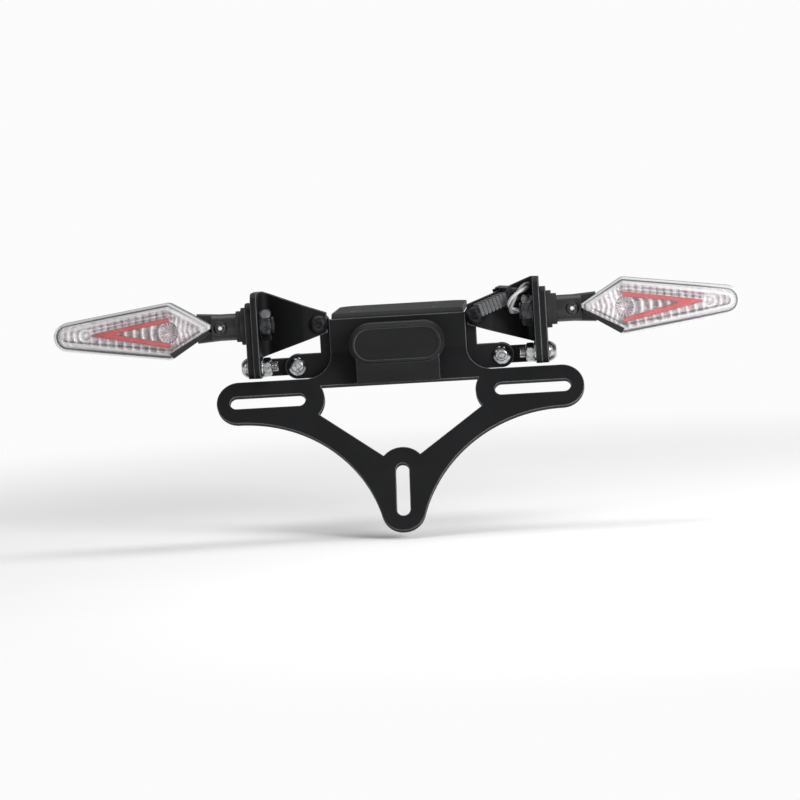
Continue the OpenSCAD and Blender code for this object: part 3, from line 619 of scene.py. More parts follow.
@dataclass(frozen=True)
class LampLens(Finish):
    """The lamps' clear lens: nearly invisible on its face, and milky along its sloped border and walls."""

    tint: Colour = (0.72, 0.70, 0.715)
    border_tint: Colour = (0.66, 0.655, 0.665)
    # edge_tint is a painted highlight along the lens's edges.
    edge_tint: Colour = (0.97, 0.97, 0.98)
    face: float = 0.065
    edge_y: float = -52.28
    border_deep: float = 3.22
    border: tuple[tuple[float, float], ...] = (
        (0.0, 0.42), (0.08, 0.72), (0.26, 0.62), (0.33, 0.16),
        (0.42, 0.13), (0.86, 0.12), (0.94, 0.34), (1.0, 0.16),
    )  # fmt: skip

    def paint(self, graph: Graph) -> None:
        """Density = the face's where the normal points rearward, else a ramp over the depth of the border.

        The ramp runs from the outline (0) to the face (1), so its dips are lines parallel to the outline.
        """
        place = graph.place()
        rounded, edge = graph.edges(0.3, 1.6)
        haze = graph.noise(place, 0.25, 3.0, 0.6)
        ripple = graph.noise(place, 0.35, 2.0, 0.4)
        sloped = graph.part(graph.true_normal(), "Y").maths("ABSOLUTE").eased(0.97, 0.9)
        share = (self.edge_y * MM - graph.part(place, "Y")) / (self.border_deep * MM)
        dense = graph.ramp(share, self.border)
        alpha = self.face + sloped * (dense - self.face) + haze.eased(0.5, 0.8) * 0.05
        tone = graph.mixed(sloped, self.tint, self.border_tint)
        # Painted highlight: the lens's edges are lightened toward near-white.
        tone = graph.mixed(edge * 0.4, tone, self.edge_tint)
        rough = 0.06 + haze * 0.08 + sloped * 0.08
        clear = {"Alpha": alpha, "IOR": POLYCARBONATE_IOR, "Specular IOR Level": 0.7}
        graph.surface(tone, rough, graph.bump(ripple, 0.05, rounded), clear)


@dataclass(frozen=True)
class Metallised(Finish):
    """Bright metallised plastic, with a painted highlight on its crests and painted mauve shade in its
    hollows.
    """

    # bright is a painted highlight on the crests and hollow a painted shade in the hollows; middle lies
    # between them.
    bright: Colour = (0.80, 0.775, 0.785)
    middle: Colour = (0.44, 0.395, 0.42)
    hollow: Colour = (0.12, 0.082, 0.097)
    pink: Colour = (0.60, 0.38, 0.45)
    facets_per_mm: float = 0.55

    def paint(self, graph: Graph) -> None:
        """Painted light and shade from the piece's marks, light on crests and dark in hollows, with painted
        glints from small facets and a faint pink cast here and there.
        """
        place = graph.place()
        cell = graph.cells(place, self.facets_per_mm, "Color")
        pick = graph.value("ShaderNodeSeparateColor", {}, {"Color": cell}, "Red")
        second = graph.value("ShaderNodeSeparateColor", {}, {"Color": cell}, "Green")
        fine = graph.noise(place, 1.6, 2.0, 0.6)
        cast = graph.noise(place, 0.11, 2.0, 0.5)
        # The marks and facet cells paint the optic's light and shade: highlights and glints on crests, shade
        # in hollows.
        mark = graph.mark() + (pick - 0.5) * 0.42 + (fine - 0.5) * 0.2
        tone = graph.mixed(mark.eased(0.0, 0.5), self.hollow, self.middle)
        tone = graph.mixed(mark.eased(0.42, 0.95), tone, self.bright)
        tone = graph.mixed(cast.eased(0.5, 0.72) * 0.3, tone, self.pink)
        rough = 0.14 + second * 0.12 + fine * 0.06
        graph.surface(tone, rough, graph.bump(fine + pick * 0.5, 0.12), {"Metallic": 0.45})


@dataclass(frozen=True)
class GuideRed(Finish):
    """Clear red light guide that gives off a faint painted light of its own colour, standing in for daylight
    caught inside it.
    """

    deep: Colour = (0.33, 0.004, 0.012)
    light: Colour = (0.43, 0.022, 0.022)
    edge_colour: Colour = (0.70, 0.14, 0.14)
    # The strength of a painted light: the guide's faint emission.
    glow: float = 0.05

    def paint(self, graph: Graph) -> None:
        """Saturated red, a little paler in patches, with fine steps along it."""
        place = graph.place()
        patch = graph.noise(place, 0.12, 2.0, 0.5)
        steps = graph.value(
            "ShaderNodeTexWave",
            {"wave_type": "BANDS", "bands_direction": "X"},
            {"Vector": place, "Scale": 0.16 / MM, "Distortion": 0.0},
            "Fac",
        )
        tone = graph.mixed(patch.eased(0.35, 0.7), self.deep, self.light)
        rounded, edge = graph.edges(0.3, 2.0)
        tone = graph.mixed(edge * 0.2, tone, self.edge_colour)
        # A faint emission in the guide's own colour: painted light.
        painted_glow_inputs = {"Emission Color": tone, "Emission Strength": self.glow, "Specular IOR Level": 0.12}
        graph.surface(tone, 0.16 + patch * 0.1, graph.bump(steps, 0.05, rounded), painted_glow_inputs)


@dataclass(frozen=True)
class CircuitBoard(Finish):
    """Green board with faint tracks."""

    mask: Colour = (0.012, 0.085, 0.04)
    track: Colour = (0.03, 0.19, 0.085)

    def paint(self, graph: Graph) -> None:
        """Solder mask over rectangular tracks."""
        place = graph.place()
        tracks = graph.value(
            "ShaderNodeTexBrick",
            {},
            {"Vector": place, "Scale": 0.35 / MM, "Mortar Size": 0.09, "Mortar Smooth": 0.2},
            "Fac",
        )
        cloud = graph.noise(place, 0.3)
        tone = graph.mixed(tracks, self.mask, self.track)
        graph.surface(tone, 0.3 + cloud * 0.15, graph.bump(tracks, 0.03), {"Coat Weight": 0.3})


@dataclass(frozen=True)
class Sheath(Finish):
    """Soft PVC of the wires, handled and a little grey."""

    colour: Colour = (0.62, 0.62, 0.60)
    grime: Colour = (0.33, 0.33, 0.31)

    def paint(self, graph: Graph) -> None:
        """Patches of grime and a fine surface."""
        place = graph.place()
        dirt = graph.noise(place, 0.35, 3.0, 0.6)
        fine = graph.noise(place, 4.0, 2.0)
        tone = graph.mixed(dirt.eased(0.5, 0.78), self.colour, self.grime)
        graph.surface(tone, 0.42 + dirt * 0.2, graph.bump(fine, 0.012))


class Finishes:
    """Every finish of the tail tidy."""

    steel = PowderCoat("powder_coat")
    # The edge colours of the plastics below paint highlights on their rims and edges.
    badge = MouldedPlastic(
        "badge_plastic",
        colour=(0.0065, 0.0067, 0.0072),
        edge_colour=(0.15, 0.153, 0.16),
        roughness=0.4,
        edge_mm=0.6,
        sheen=0.18,
    )
    housing = MouldedPlastic(
        "housing_plastic",
        colour=(0.0085, 0.0087, 0.0092),
        edge_colour=(0.12, 0.122, 0.127),
        roughness=0.33,
        sheen=0.4,
    )
    collar = MouldedPlastic(
        "collar_rubber",
        colour=(0.05, 0.05, 0.052),
        edge_colour=(0.3, 0.3, 0.305),
        roughness=0.5,
        grain_per_mm=1.6,
        edge_mm=0.5,
    )
    tie = MouldedPlastic("tie_nylon", colour=(0.012, 0.012, 0.013), roughness=0.3, grain_mm=0.012)
    connector = MouldedPlastic(
        "connector_nylon", colour=(0.06, 0.061, 0.064), edge_colour=(0.24, 0.24, 0.25), roughness=0.4
    )
    bright = BrightMetal("bright_zinc")
    screw = ScrewHead("screw_black_worn")
    nut = BrightMetal("zinc_nut", colour=(0.50, 0.51, 0.53), shade=(0.22, 0.225, 0.24), roughness=0.24)
    # The zinc nut finish made darker, for the stem nuts and washers.
    dark_nut = replace(nut, name="black_nut", colour=(0.08, 0.082, 0.087), shade=(0.026, 0.027, 0.03))
    black_bolt = BlackBolt("black_zinc")
    lens = LampLens("lamp_clear")
    light_lens = ClearLens("light_clear", face=0.45, rim=0.8)
    optic = Metallised("lamp_metallised")
    guide = GuideRed("guide_red_clear")
    board = CircuitBoard("board_green")
    wire = Sheath("wire_pvc", colour=(0.40, 0.395, 0.40), grime=(0.21, 0.205, 0.21))
    wire_two = Sheath("wire_pvc_two", colour=(0.21, 0.205, 0.215), grime=(0.11, 0.108, 0.115))


def dress(node: bpy.types.Object, finish: Finish) -> None:
    """Gives every material slot of a CAD node the finish, and leaves its mesh alone."""
    if not node.material_slots:
        node.data.materials.append(None)
    for slot in node.material_slots:
        slot.material = finish.material()


def finished(
    name: str,
    shell: Shell,
    finish: Finish,
    stands_for: Sequence[str] = (),
    sharp_deg: float = 35.0,
) -> bpy.types.Object:
    """Makes a piece, finishes it and fixes it to the body.

    Args:
        name: the piece's name.
        shell: its mesh in millimetres.
        finish: its finish.
        stands_for: CAD nodes that it replaces.
        sharp_deg: the angle above which an edge stays sharp.

    Returns:
        The piece.
    """
    piece = mesh_object(name, shell, sharp_deg)
    piece.data.materials.append(finish.material())
    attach(piece, "root")
    if stands_for:
        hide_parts(*stands_for)
    LOG.info("piece %s: %d quads, %d triangles", name, len(shell.quads), len(shell.tris))
    return piece


# Fasteners


@dataclass(frozen=True)
class Bolt:
    """A socket-headed machine bolt with a cut thread, its head along +Z from the origin.

    Its rows are tuples: radius, height, share of hexagon and share of knurl. The length is the shank's,
    and the knurl is how deep every second column of a cap head is cut.
    """

    length: float
    head: Head = Head.BUTTON
    size: float = 5.0
    pitch: float = 0.8
    knurl: float = 0.16
    columns: int = 48
    rows_per_turn: int = 6

    def head_rows(self) -> list[tuple[float, float, float, float]]:
        """Rows of the head from the socket's floor to the underside, as shares of the thread's size.

        A button head is a low dome: the crown of a sphere whose middle lies under the head. A cap head is a
        knurled cylinder.
        """
        s = self.size
        if self.head is Head.BUTTON:
            top, deep, flats = 0.55 * s, 0.32 * s, 0.6 * s
            sphere, drop = 1.008 * s, 0.335 * s
            rise = np.linspace(top - 0.02, 0.3, 9)
            dome = [(math.sqrt(sphere**2 - (z + drop) ** 2), z, 0.0, 0.0) for z in rise]
            outer = [(0.46 * s, top, 0.0, 0.0), *dome, (0.944 * s, 0.1, 0.0, 0.0), (0.92 * s, 0.0, 0.0, 0.0)]
        else:
            top, deep, flats = s, 0.5 * s, 0.8 * s
            wide = 0.85 * s
            side = [(wide, z, 0.0, 1.0) for z in np.linspace(top - 0.45, 0.5, 6)]
            outer = [(wide - 0.4, top, 0.0, 0.0), (wide, top - 0.35, 0.0, 0.0), *side]
            outer += [(wide, 0.25, 0.0, 0.0), (wide - 0.2, 0.0, 0.0, 0.0)]
        half, floor = flats / 2, top - deep
        socket = [(half * 0.5, floor, 0.0, 0.0), (half - 0.15, floor, 1.0, 0.0)]
        socket += [(half, floor + 0.12, 1.0, 0.0), (half, top - 0.16, 1.0, 0.0), (half + 0.14, top, 1.0, 0.0)]
        return socket + outer

    def shell(self) -> Shell:
        """The bolt: radius = row radius, or a hexagon's in the socket, less the knurl and the thread.

        The thread's depth follows a triangle wave of height / pitch - angle / full turn.
        """
        core = self.size / 2
        shank = np.arange(-0.5, -self.length + 0.5, -self.pitch / self.rows_per_turn)
        head = np.array(self.head_rows() + [(core + 0.2, 0.0, 0.0, 0.0), (core - 0.04, -0.3, 0.0, 0.0)])
        tail = np.array([(core - 0.1, -self.length + 0.35, 0, 0), (core - 0.55, -self.length, 0, 0)])
        thread = np.column_stack([np.full(len(shank), core - 0.02), shank, shank * 0, shank * 0])
        table = np.vstack([head, thread, tail])
        cut = np.zeros(len(table))
        cut[len(head) : len(head) + len(thread)] = 0.5 * self.pitch
        angle = around(self.columns)
        radius, height, six, knurled = (table[:, k : k + 1] for k in range(4))
        hexed = hexagon(angle, 1.0)[None, :] * 2 * radius
        r = radius * (1 - six) + hexed * six - knurled * self.knurl * (np.arange(self.columns) % 2)[None, :]
        r = r - cut[:, None] * triangle_wave(height / self.pitch - angle[None, :] / (2 * math.pi))
        return grid_shell(turned(r, height, angle), cap_ends=True)


@dataclass(frozen=True)
class Nut:
    """A hexagon nut on the XY plane, chamfered on both faces."""

    flats: float
    height: float
    bore: float
    columns: int = 72

    def shell(self) -> Shell:
        """The nut: outer radius = the lesser of the hexagon's and the chamfer cone's, inner = the bore's."""
        corner = self.flats / (2 * math.cos(math.pi / 6))
        b, h = self.bore, self.height
        outer = np.array([(corner - 0.75, 0.0), (corner - 0.2, 0.22), (corner, 0.4), (corner, h * 0.5)])
        outer = np.vstack([outer, [(corner, h - 0.8), (corner - 0.6, h - 0.4), (corner - 1.2, h)]])
        inner = np.array([(b + 0.5, h), (b, h - 0.5), (b, 0.5), (b + 0.4, 0.0)])
        angle = around(self.columns)
        cone = np.minimum(outer[:, :1], hexagon(angle, self.flats)[None, :])
        bore = np.broadcast_to(inner[:, :1], (len(inner), self.columns))
        heights = np.concatenate([outer[:, 1], inner[:, 1]])[:, None]
        return grid_shell(turned(np.vstack([cone, bore]), heights, angle), wrap_rows=True)


@dataclass(frozen=True)
class Washer:
    """A stamped washer on the XY plane, with one rolled edge."""

    radius: float
    bore: float
    height: float = 1.0
    columns: int = 56

    def shell(self) -> Shell:
        """The washer: a rounded oblong section turned about Z."""
        r, b, h = self.radius, self.bore, self.height
        under = [(b, 0.1), (b + 0.1, 0), (r - 0.1, 0), (r, 0.12)]
        upper = [(r, h - 0.35), (r - 0.12, h - 0.1), (r - 0.35, h), (b + 0.15, h), (b, h - 0.15)]
        section = np.array(under + upper)
        return grid_shell(turned(section[:, :1], section[:, 1:], around(self.columns)), wrap_rows=True)


@dataclass(frozen=True)
class PanScrew:
    """A pan-headed screw with a cross recess, its head along +Z from the origin."""

    radius: float = 3.1
    shank: float = 2.6
    core: float = 1.25
    top: float = 1.9
    dome_radius: float = 4.3
    dome_drop: float = 2.2
    arm_half: float = 0.78
    arm_reach: float = 2.05
    columns: int = 96

    def shell(self) -> Shell:
        """The screw: a dome, sunk by 1 mm where the lesser of |x| and |y| is small, over a plain shank.

        Height = dome(r) - ease(arm's half width - min(|x|, |y|)) x ease(arm's reach - max(|x|, |y|)).
        The marks rise to 1 at the middle of the head, where the finish paints a glint.
        """
        angle = around(self.columns)
        rings = np.concatenate([np.linspace(0.12, 2.7, 24), [2.9, 3.03, self.radius]])[:, None]
        dome = np.sqrt(self.dome_radius**2 - rings**2) - self.dome_drop
        head = turned(rings, np.minimum(self.top, dome), angle)
        spread = np.abs(head[:, :, :2])
        narrow, wide = spread.min(axis=2), spread.max(axis=2)
        head[:, :, 2] -= ease(self.arm_half - narrow, 0.0, 0.38) * ease(self.arm_reach - wide, 0.0, 0.45)
        under = [(self.radius, 0.25), (self.radius - 0.15, 0.0), (self.core, 0.0), (self.core, -self.shank)]
        under = np.array(under)
        made = grid_shell(np.vstack([head, turned(under[:, :1], under[:, 1:], angle)]), cap_ends=True)
        away = np.hypot(made.points[:, 0], made.points[:, 1])
        # The marks place the finish's painted glint at the middle of the head.
        return replace(made, marks=ease(self.core - away, 0.0, 0.6) * (made.points[:, 2] > 0))


@dataclass
class Fasteners:
    """Every bolt, nut, washer and screw, in place of the plain CAD ones."""

    panel_rear: float = -40.0
    face_front: float = -34.0
    stay_front: float = -31.0
    sheet: float = 3.0
    lamp_y: float = -42.5
    lamp_z: float = -3.0
    tab_bolt: tuple[float, float] = (38.0, -4.3)
    stay_bolt: tuple[float, float] = (49.6, -24.3)
    light_bolt: tuple[float, float] = (14.0, -11.0)
    side_z: float = -23.3
    flange: float = 66.5
    adaptor_out: float = 72.5
    screw_x: float = 85.0
    screw_out: float = 5.1
    nut: Nut = Nut(8.0, 4.0, 2.56)
    washer: Washer = Washer(5.0, 2.75)
    stem_nut: Nut = Nut(13.0, 4.8, 4.06)
    stem_washer: Washer = Washer(7.3, 4.2, 1.2)

    @staticmethod
    def pair(name: str, shell: Shell, finish: Finish, node: str, slot: Slot = Slot.BRIGHT) -> None:
        """Makes a shell and its mirror image one piece that replaces a CAD node."""
        finished(name, Shell.joined([shell, shell.mirrored()]), finish, [node])

    def rearward(self) -> None:
        """The bolts through the panel: at the side brackets' tabs, at the stays and in the plate light."""
        rear, front, right = (0, -1, 0), (0, 1, 0), (1, 0, 0)
        x, z = self.tab_bolt
        bolt = Bolt(11.0).shell().placed((x, self.panel_rear, z), rear, right)
        self.pair("bracket_bolt_pair", bolt, Finishes.black_bolt, "bracket_bolts", Slot.BLACK_BOLT)
        nut = self.nut.shell().placed((x, self.face_front, z), front, right)
        self.pair("bracket_nut_pair", nut, Finishes.nut, "bracket_nuts")
        x, z = self.stay_bolt
        bolt = Bolt(11.5).shell().placed((x, self.panel_rear + self.sheet, z), rear, right)
        self.pair("stay_bolt_pair", bolt, Finishes.bright, "stay_bolts")
        nut = self.nut.shell().placed((x, self.stay_front, z), front, right)
        self.pair("stay_nut_pair", nut, Finishes.nut, "stay_nuts")

    def sideways(self) -> None:
        """The bolts through the feet of the end flanges, each with two washers and a nut."""
        right, left, up = (1, 0, 0), (-1, 0, 0), (0, 0, 1)
        head = self.adaptor_out + self.washer.height
        bolt = Bolt(15.0).shell().placed((head, self.lamp_y, self.side_z), right, up)
        self.pair("side_bolt_pair", bolt, Finishes.bright, "side_bolts")
        rings = [
            self.washer.shell().placed((x, self.lamp_y, self.side_z), way, up)
            for x, way in ((self.adaptor_out, right), (self.flange, left))
        ]
        self.pair("side_washer_set", Shell.joined(rings), Finishes.bright, "side_washers")
        nut = self.nut.shell().placed((self.flange - self.washer.height, self.lamp_y, self.side_z), left, up)
        self.pair("side_nut_pair", nut, Finishes.bright, "side_nuts")

    def in_light(self) -> None:
        """The cap-headed bolts and washers that hold the plate light from the front."""
        front, right = (0, 1, 0), (1, 0, 0)
        x, z = self.light_bolt
        bolt = Bolt(16.0, Head.CAP).shell().placed((x, self.face_front + self.washer.height, z), front, right)
        self.pair("light_bolt_pair", bolt, Finishes.nut, "light_bolts")
        ring = self.washer.shell().placed((x, self.face_front, z), front, right)
        self.pair("light_washer_pair", ring, Finishes.nut, "light_washers")

    def on_lamps(self) -> None:
        """The nuts and washers on the lamps' stems, and the screws in their stalks."""
        rear, right, left, up = (0, -1, 0), (1, 0, 0), (-1, 0, 0), (0, 0, 1)
        seat = (self.flange - self.stem_washer.height, self.lamp_y, self.lamp_z)
        nut = self.stem_nut.shell().placed(seat, left, up)
        self.pair("stem_nut_pair", nut, Finishes.dark_nut, "stem_nuts", Slot.BLACK_BOLT)
        ring = self.stem_washer.shell().placed(seat, right, up)
        self.pair("stem_washer_pair", ring, Finishes.dark_nut, "stem_washers", Slot.BLACK_BOLT)
        head = (self.screw_x, self.lamp_y - self.screw_out, self.lamp_z)
        screw = PanScrew().shell().placed(head, rear, right)
        both = Shell.joined([screw, screw.mirrored()])
        finished("stalk_screw_pair", both, Finishes.screw, ["stalk_screws"], sharp_deg=50.0)

    def build(self) -> None:
        """Makes every fastener piece."""
        self.rearward()
        self.sideways()
        self.in_light()
        self.on_lamps()


# Steelwork and plate light


@dataclass
class Steelwork:
    """The folded sheets, which keep their CAD shapes."""

    nodes: dict[str, bpy.types.Object]

    def build(self) -> None:
        """Powder-coats every sheet."""
        names = ["tail_bracket", "plate_bracket"]
        names += [f"{kind}_{side.word}" for kind in ("lamp_bracket", "adaptor_plate") for side in Side]
        for name in names:
            dress(self.nodes[name], Finishes.steel)
            LOG.info("node %s powder-coated", name)


@dataclass
class PlateLight:
    """The badge without lettering, with the lamp box under it, its lens and its board."""

    nodes: dict[str, bpy.types.Object]
    flutes: int = 15
    flute_deep: float = 0.5
    rows_per_flute: int = 8
    rail_wide: float = 2.5
    rail_span: tuple[float, float] = (1.0, 2.2)
    block_high: float = 4.9
    round_off: float = 0.5
    slack: float = 0.05

    def lens_box(self) -> tuple[Array, Array]:
        """The CAD lens's lowest and highest corners, in millimetres."""
        low, high = (np.array(corner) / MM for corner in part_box("light_lens"))
        return low, high

    def lens_shell(self) -> Shell:
        """A block whose underside is fluted: its depth = the CAD lens's, less a share of 1 - |sin| across.

        Returns:
            The lens's main block, closed.
        """
        low, high = self.lens_box()
        x0, x1 = low[0] + self.rail_wide, high[0] - self.rail_wide
        x = np.linspace(x0, x1, self.flutes * self.rows_per_flute + 1)
        fall = self.flute_deep * (1 - np.abs(np.sin((x - x0) / (x1 - x0) * self.flutes * math.pi)))
        y0, y1 = low[1] + self.slack, high[1] - self.slack
        under = low[2] + fall
        side, top = low[2] + self.round_off + fall, np.full_like(x, low[2] + self.block_high)
        ring = [(y0, side), (y0 + self.round_off, under), (y1 - self.round_off, under), (y1, side)]
        ring += [(y1, top), (y0, top)]
        points = np.stack([np.stack([x, np.full_like(x, y), z], axis=-1) for y, z in ring], axis=1)
        return grid_shell(points, cap_ends=True)

    def rail_shell(self, x0: float, x1: float) -> Shell:
        """The flat rail at one end of the lens, from x0 to x1."""
        low, high = self.lens_box()
        z0, z1 = (low[2] + rise for rise in self.rail_span)
        section = np.array([(low[1], z0), (high[1], z0), (high[1], z1), (low[1], z1)])
        rows = [np.column_stack([np.full(4, x), section]) for x in np.linspace(x0, x1, 3)]
        return grid_shell(np.array(rows), cap_ends=True)

    def build(self) -> None:
        """Dresses the badge and makes the fluted lens with its two side rails."""
        dress(self.nodes["light_housing"], Finishes.badge)
        dress(self.nodes["light_board"], Finishes.board)
        low, high = self.lens_box()
        left = self.rail_shell(low[0], low[0] + self.rail_wide)
        right = self.rail_shell(high[0] - self.rail_wide, high[0])
        lens = Shell.joined([self.lens_shell(), left, right])
        finished("plate_light_lens", lens, Finishes.light_lens, ["light_lens"], sharp_deg=25.0)


# Rear lamps


@dataclass
class RearLamp:
    """One arrow-shaped rear lamp: lens, optic, red guide, housing, collar and board.

    Sizes are in millimetres, in the frame of the right lamp. The neck is given by corners: how far past
    the inner end, and half the height there. The guide's outer and inner lines are given by their tip,
    their run along the lamp, and their spread at the open end.
    """

    side: Side
    nodes: dict[str, bpy.types.Object]
    inner: float = 89.5
    wide: float = 110.0
    tip: float = 165.5
    height: float = 27.6
    tip_radius: float = 7.0
    corner: float = 4.0
    neck: tuple[tuple[float, float], ...] = ((2.0, 3.0), (0.0, 2.0))
    axis_z: float = -3.0
    seam: float = -45.5
    floor: float = -41.0
    inset: float = 2.0
    guide_rear: float = -50.1
    guide_outer: tuple[float, float, float] = (147.5, 38.2, 7.5)
    guide_inner: tuple[float, float, float] = (135.04, 25.74, 5.05)
    guide_drop: float = 0.7
    guide_proud: float = 2.3
    tip_lift: float = 0.9
    tip_round: float = 0.09
    bowl_x: float = 110.0
    bowl_radius: float = 4.5
    bowl_deep: float = 2.6
    bowl_squash: float = 0.8
    relief: float = 2.1
    bead_radius: float = 0.3
    bead_middle: tuple[float, float] = (128.0, 0.0)

    def outline(self, inset: float, angles: Array) -> Array:
        """The lamp's outline, drawn in: for each direction, the farthest of its circles and corners.

        Args:
            inset: how far the outline is drawn in.
            angles: outward directions, in radians.

        Returns:
            Points (x, z) about the lamp's axis.
        """
        half_wide = self.height / 2 - self.corner
        circles = [(self.tip - self.tip_radius, 0.0, self.tip_radius - inset)]
        circles += [(self.wide, s * half_wide, max(self.corner - inset, 0.6)) for s in (-1, 1)]
        for along, half in self.neck:
            x = self.inner + along + inset
            circles += [(x, s * half * (1 - 0.1 * inset), 0.0) for s in (-1, 1)]
        c = np.array(circles)
        way = np.stack([np.cos(angles), np.sin(angles)], axis=-1)
        best = np.argmax(way @ c[:, :2].T + c[:, 2], axis=1)
        return c[best, :2] + c[best, 2:] * way

    def half_height(self, x: Array, inset: float) -> Array:
        """Half the outline's height at x, read from its upper side."""
        upper = self.outline(inset, np.linspace(math.pi, 0, 721))
        return np.interp(x, upper[:, 0], upper[:, 1])

    def crests(self, x: Array, z: Array, rim: Array) -> Array:
        """How far each point of the optic stands up, from 0 in a hollow to 1 on a crest.

        Each region has its own wave, |cos| or cos of a distance over a pitch. Inside the chevron: arcs
        round the bowl. In the bowl: radial flutes. Beside it, towards the stalk: upright strokes. Under
        the chevron: upright spikes. Above it: lines parallel to the outline. At the tip: arcs round it.
        The regions are eased into each other.

        Args:
            x: places along the lamp.
            z: places across it, from its axis.
            rim: distances from the outline.

        Returns:
            An array of the same shape.
        """
        arc_pitch, stroke_pitch, spike_pitch, notch_pitch = 4.25, 2.5, 4.1, 3.4
        line_pitch, tip_pitch, flutes = 1.9, 2.9, 18
        point, run, spread = self.guide_outer
        dx, dz = x - self.bowl_x, z + self.guide_drop
        r = np.hypot(dx, self.bowl_squash * dz)
        arm = spread * np.clip((point - x) / run, 0, 1.15)
        inside = ease(arm - np.abs(dz - self.tip_lift * (1 - arm / spread)), -0.3, 0.6)
        arcs = 0.14 + 0.86 * np.abs(np.cos(math.pi * r / arc_pitch)) ** 2.2
        strokes = 0.50 + 0.42 * np.abs(np.cos(math.pi * (x + 0.25 * np.abs(z)) / stroke_pitch))
        spikes = 0.40 + 0.60 * np.abs(np.cos(math.pi * (x + 0.12 * z) / spike_pitch)) ** 4
        notches = np.abs(np.cos(math.pi * x / notch_pitch)) ** 6
        lines = 0.70 + 0.22 * np.cos(2 * math.pi * rim / line_pitch) - 0.34 * notches
        tip = 0.74 + 0.24 * np.cos(2 * math.pi * np.hypot(x - self.tip + 15, z) / tip_pitch)
        above = ease(dz, -0.6, 0.6)
        outside = lines * above + spikes * (1 - above)
        crest = outside * (1 - inside) + arcs * inside
        stalkward = ease(self.bowl_x - 1 - x, 0, 2.5)
        crest = crest * (1 - stalkward) + strokes * stalkward
        tipward = ease(x - point + 1, 0, 3.5)
        crest = crest * (1 - tipward) + tip * tipward
        bowl = 0.52 + 0.2 * np.cos(flutes * np.arctan2(dz, dx)) * np.clip(r / 3, 0, 1)
        bowl = bowl - 0.25 * ease(r, 3.2, 4.0) * (dx < 0)
        cup = ease(self.bowl_radius - r, 0.0, 0.5)
        crest = crest * (1 - cup) + bowl * cup
        groove = np.exp(-(((rim - 2.6) / 0.4) ** 2)) * ease(-z, 0.0, 1.5)
        # These values also serve as the optic's marks, which paint its shade in hollows and its highlights on
        # crests.
        return np.clip(crest - 0.45 * groove, 0, 1)

    def optic_shell(self) -> Shell:
        """The metallised optic: x runs along the lamp and v across it, closed by a flat back.

        z = v x half height, y = guide's rear + relief x (1 - crest), eased up to the rim near v = +-1;
        the bowl is sunk by a paraboloid of its radius. The back lies at the board, or at the body's
        cut face by the stalk, and is drawn in a little so that its sides taper. The marks are the crests
        on the front, and one tone on the rim and one on the back.
        """
        board_rise, body_rise, nose_long = 0.15, 0.4, 12.5
        rim_mark, back_mark, cap_mark = 0.36, 0.5, 0.9
        x = np.linspace(self.inner + self.inset + 0.05, self.tip - self.inset - 0.05, 270)
        edge = np.linspace(0.92, 1, 5)[1:]
        v = np.concatenate([-edge[::-1], np.linspace(-0.92, 0.92, 72), edge])
        half = self.half_height(x, self.inset)[:, None]
        grid_x = np.broadcast_to(x[:, None], (len(x), len(v)))
        z = half * v[None, :]
        rim = np.minimum(half - np.abs(z), np.minimum(grid_x - x[0], x[-1] - grid_x) + 0.4)
        crest = self.crests(grid_x, z, rim)
        lip = 1 - ease(rim, 0.0, 0.8)
        r = np.hypot(grid_x - self.bowl_x, self.bowl_squash * (z + self.guide_drop))
        bowl = self.bowl_deep * np.clip(1 - (r / self.bowl_radius) ** 2, 0, 1)
        depth = 0.25 + self.relief * (1 - crest) + bowl
        front = (self.guide_rear + depth) * (1 - lip) + (self.seam - 3.3) * lip
        points = np.stack([grid_x, front, z + self.axis_z], axis=-1)
        back = points[:, ::-1].copy()
        nose = back[:, :, 0] < self.inner + nose_long
        back[:, :, 1] = np.where(nose, self.seam - body_rise, self.floor - board_rise)
        back[:, :, 2] = (back[:, :, 2] - self.axis_z) * np.where(nose, 0.98, 0.86) + self.axis_z
        back[:, :, 0] = x[0] + (back[:, :, 0] - x[0]) * (1 - 3 / (x[-1] - x[0]))
        made = grid_shell(np.concatenate([points, back], axis=1), cap_ends=True)
        # The marks paint the optic's light and shade through its finish: light on the crests, dark in the
        # hollows, a middle tone on the rim.
        front_marks = crest * (1 - 0.6 * lip) + rim_mark * lip
        marks = np.concatenate([front_marks, np.full(back.shape[:2], back_mark)], axis=1)
        return replace(made, marks=np.concatenate([marks.ravel(), [cap_mark, cap_mark]]))

    def guide_shell(self) -> Shell:
        """The red guide: a domed bar that fills the chevron from its outer to its inner line.

        Each line is (tip - run x s, spread x t) for t from -1 to 1, with s = |t| rounded at 0. The
        section runs from the outer to the inner line as a superellipse.
        """
        t = np.linspace(-1, 1, 141)
        bend = np.sqrt(t * t + self.tip_round**2)
        s = ((bend - bend.min()) / (bend.max() - bend.min()))[:, None]
        a = np.linspace(0, math.pi, 17)
        share = 0.5 - 0.5 * np.sign(np.cos(a)) * np.abs(np.cos(a)) ** 0.8
        proud = self.guide_proud * np.sin(a) ** 0.55
        (tip_a, run_a, spread_a), (tip_b, run_b, spread_b) = self.guide_outer, self.guide_inner
        x = (tip_a - run_a * s) * (1 - share) + (tip_b - run_b * s) * share
        z = spread_a * t[:, None] * (1 - share) + spread_b * t[:, None] * share + self.tip_lift * (1 - s)
        y = np.broadcast_to(self.guide_rear - proud[None, :], x.shape)
        return grid_shell(np.stack([x, y, z + self.axis_z - self.guide_drop], axis=-1), cap_ends=True)

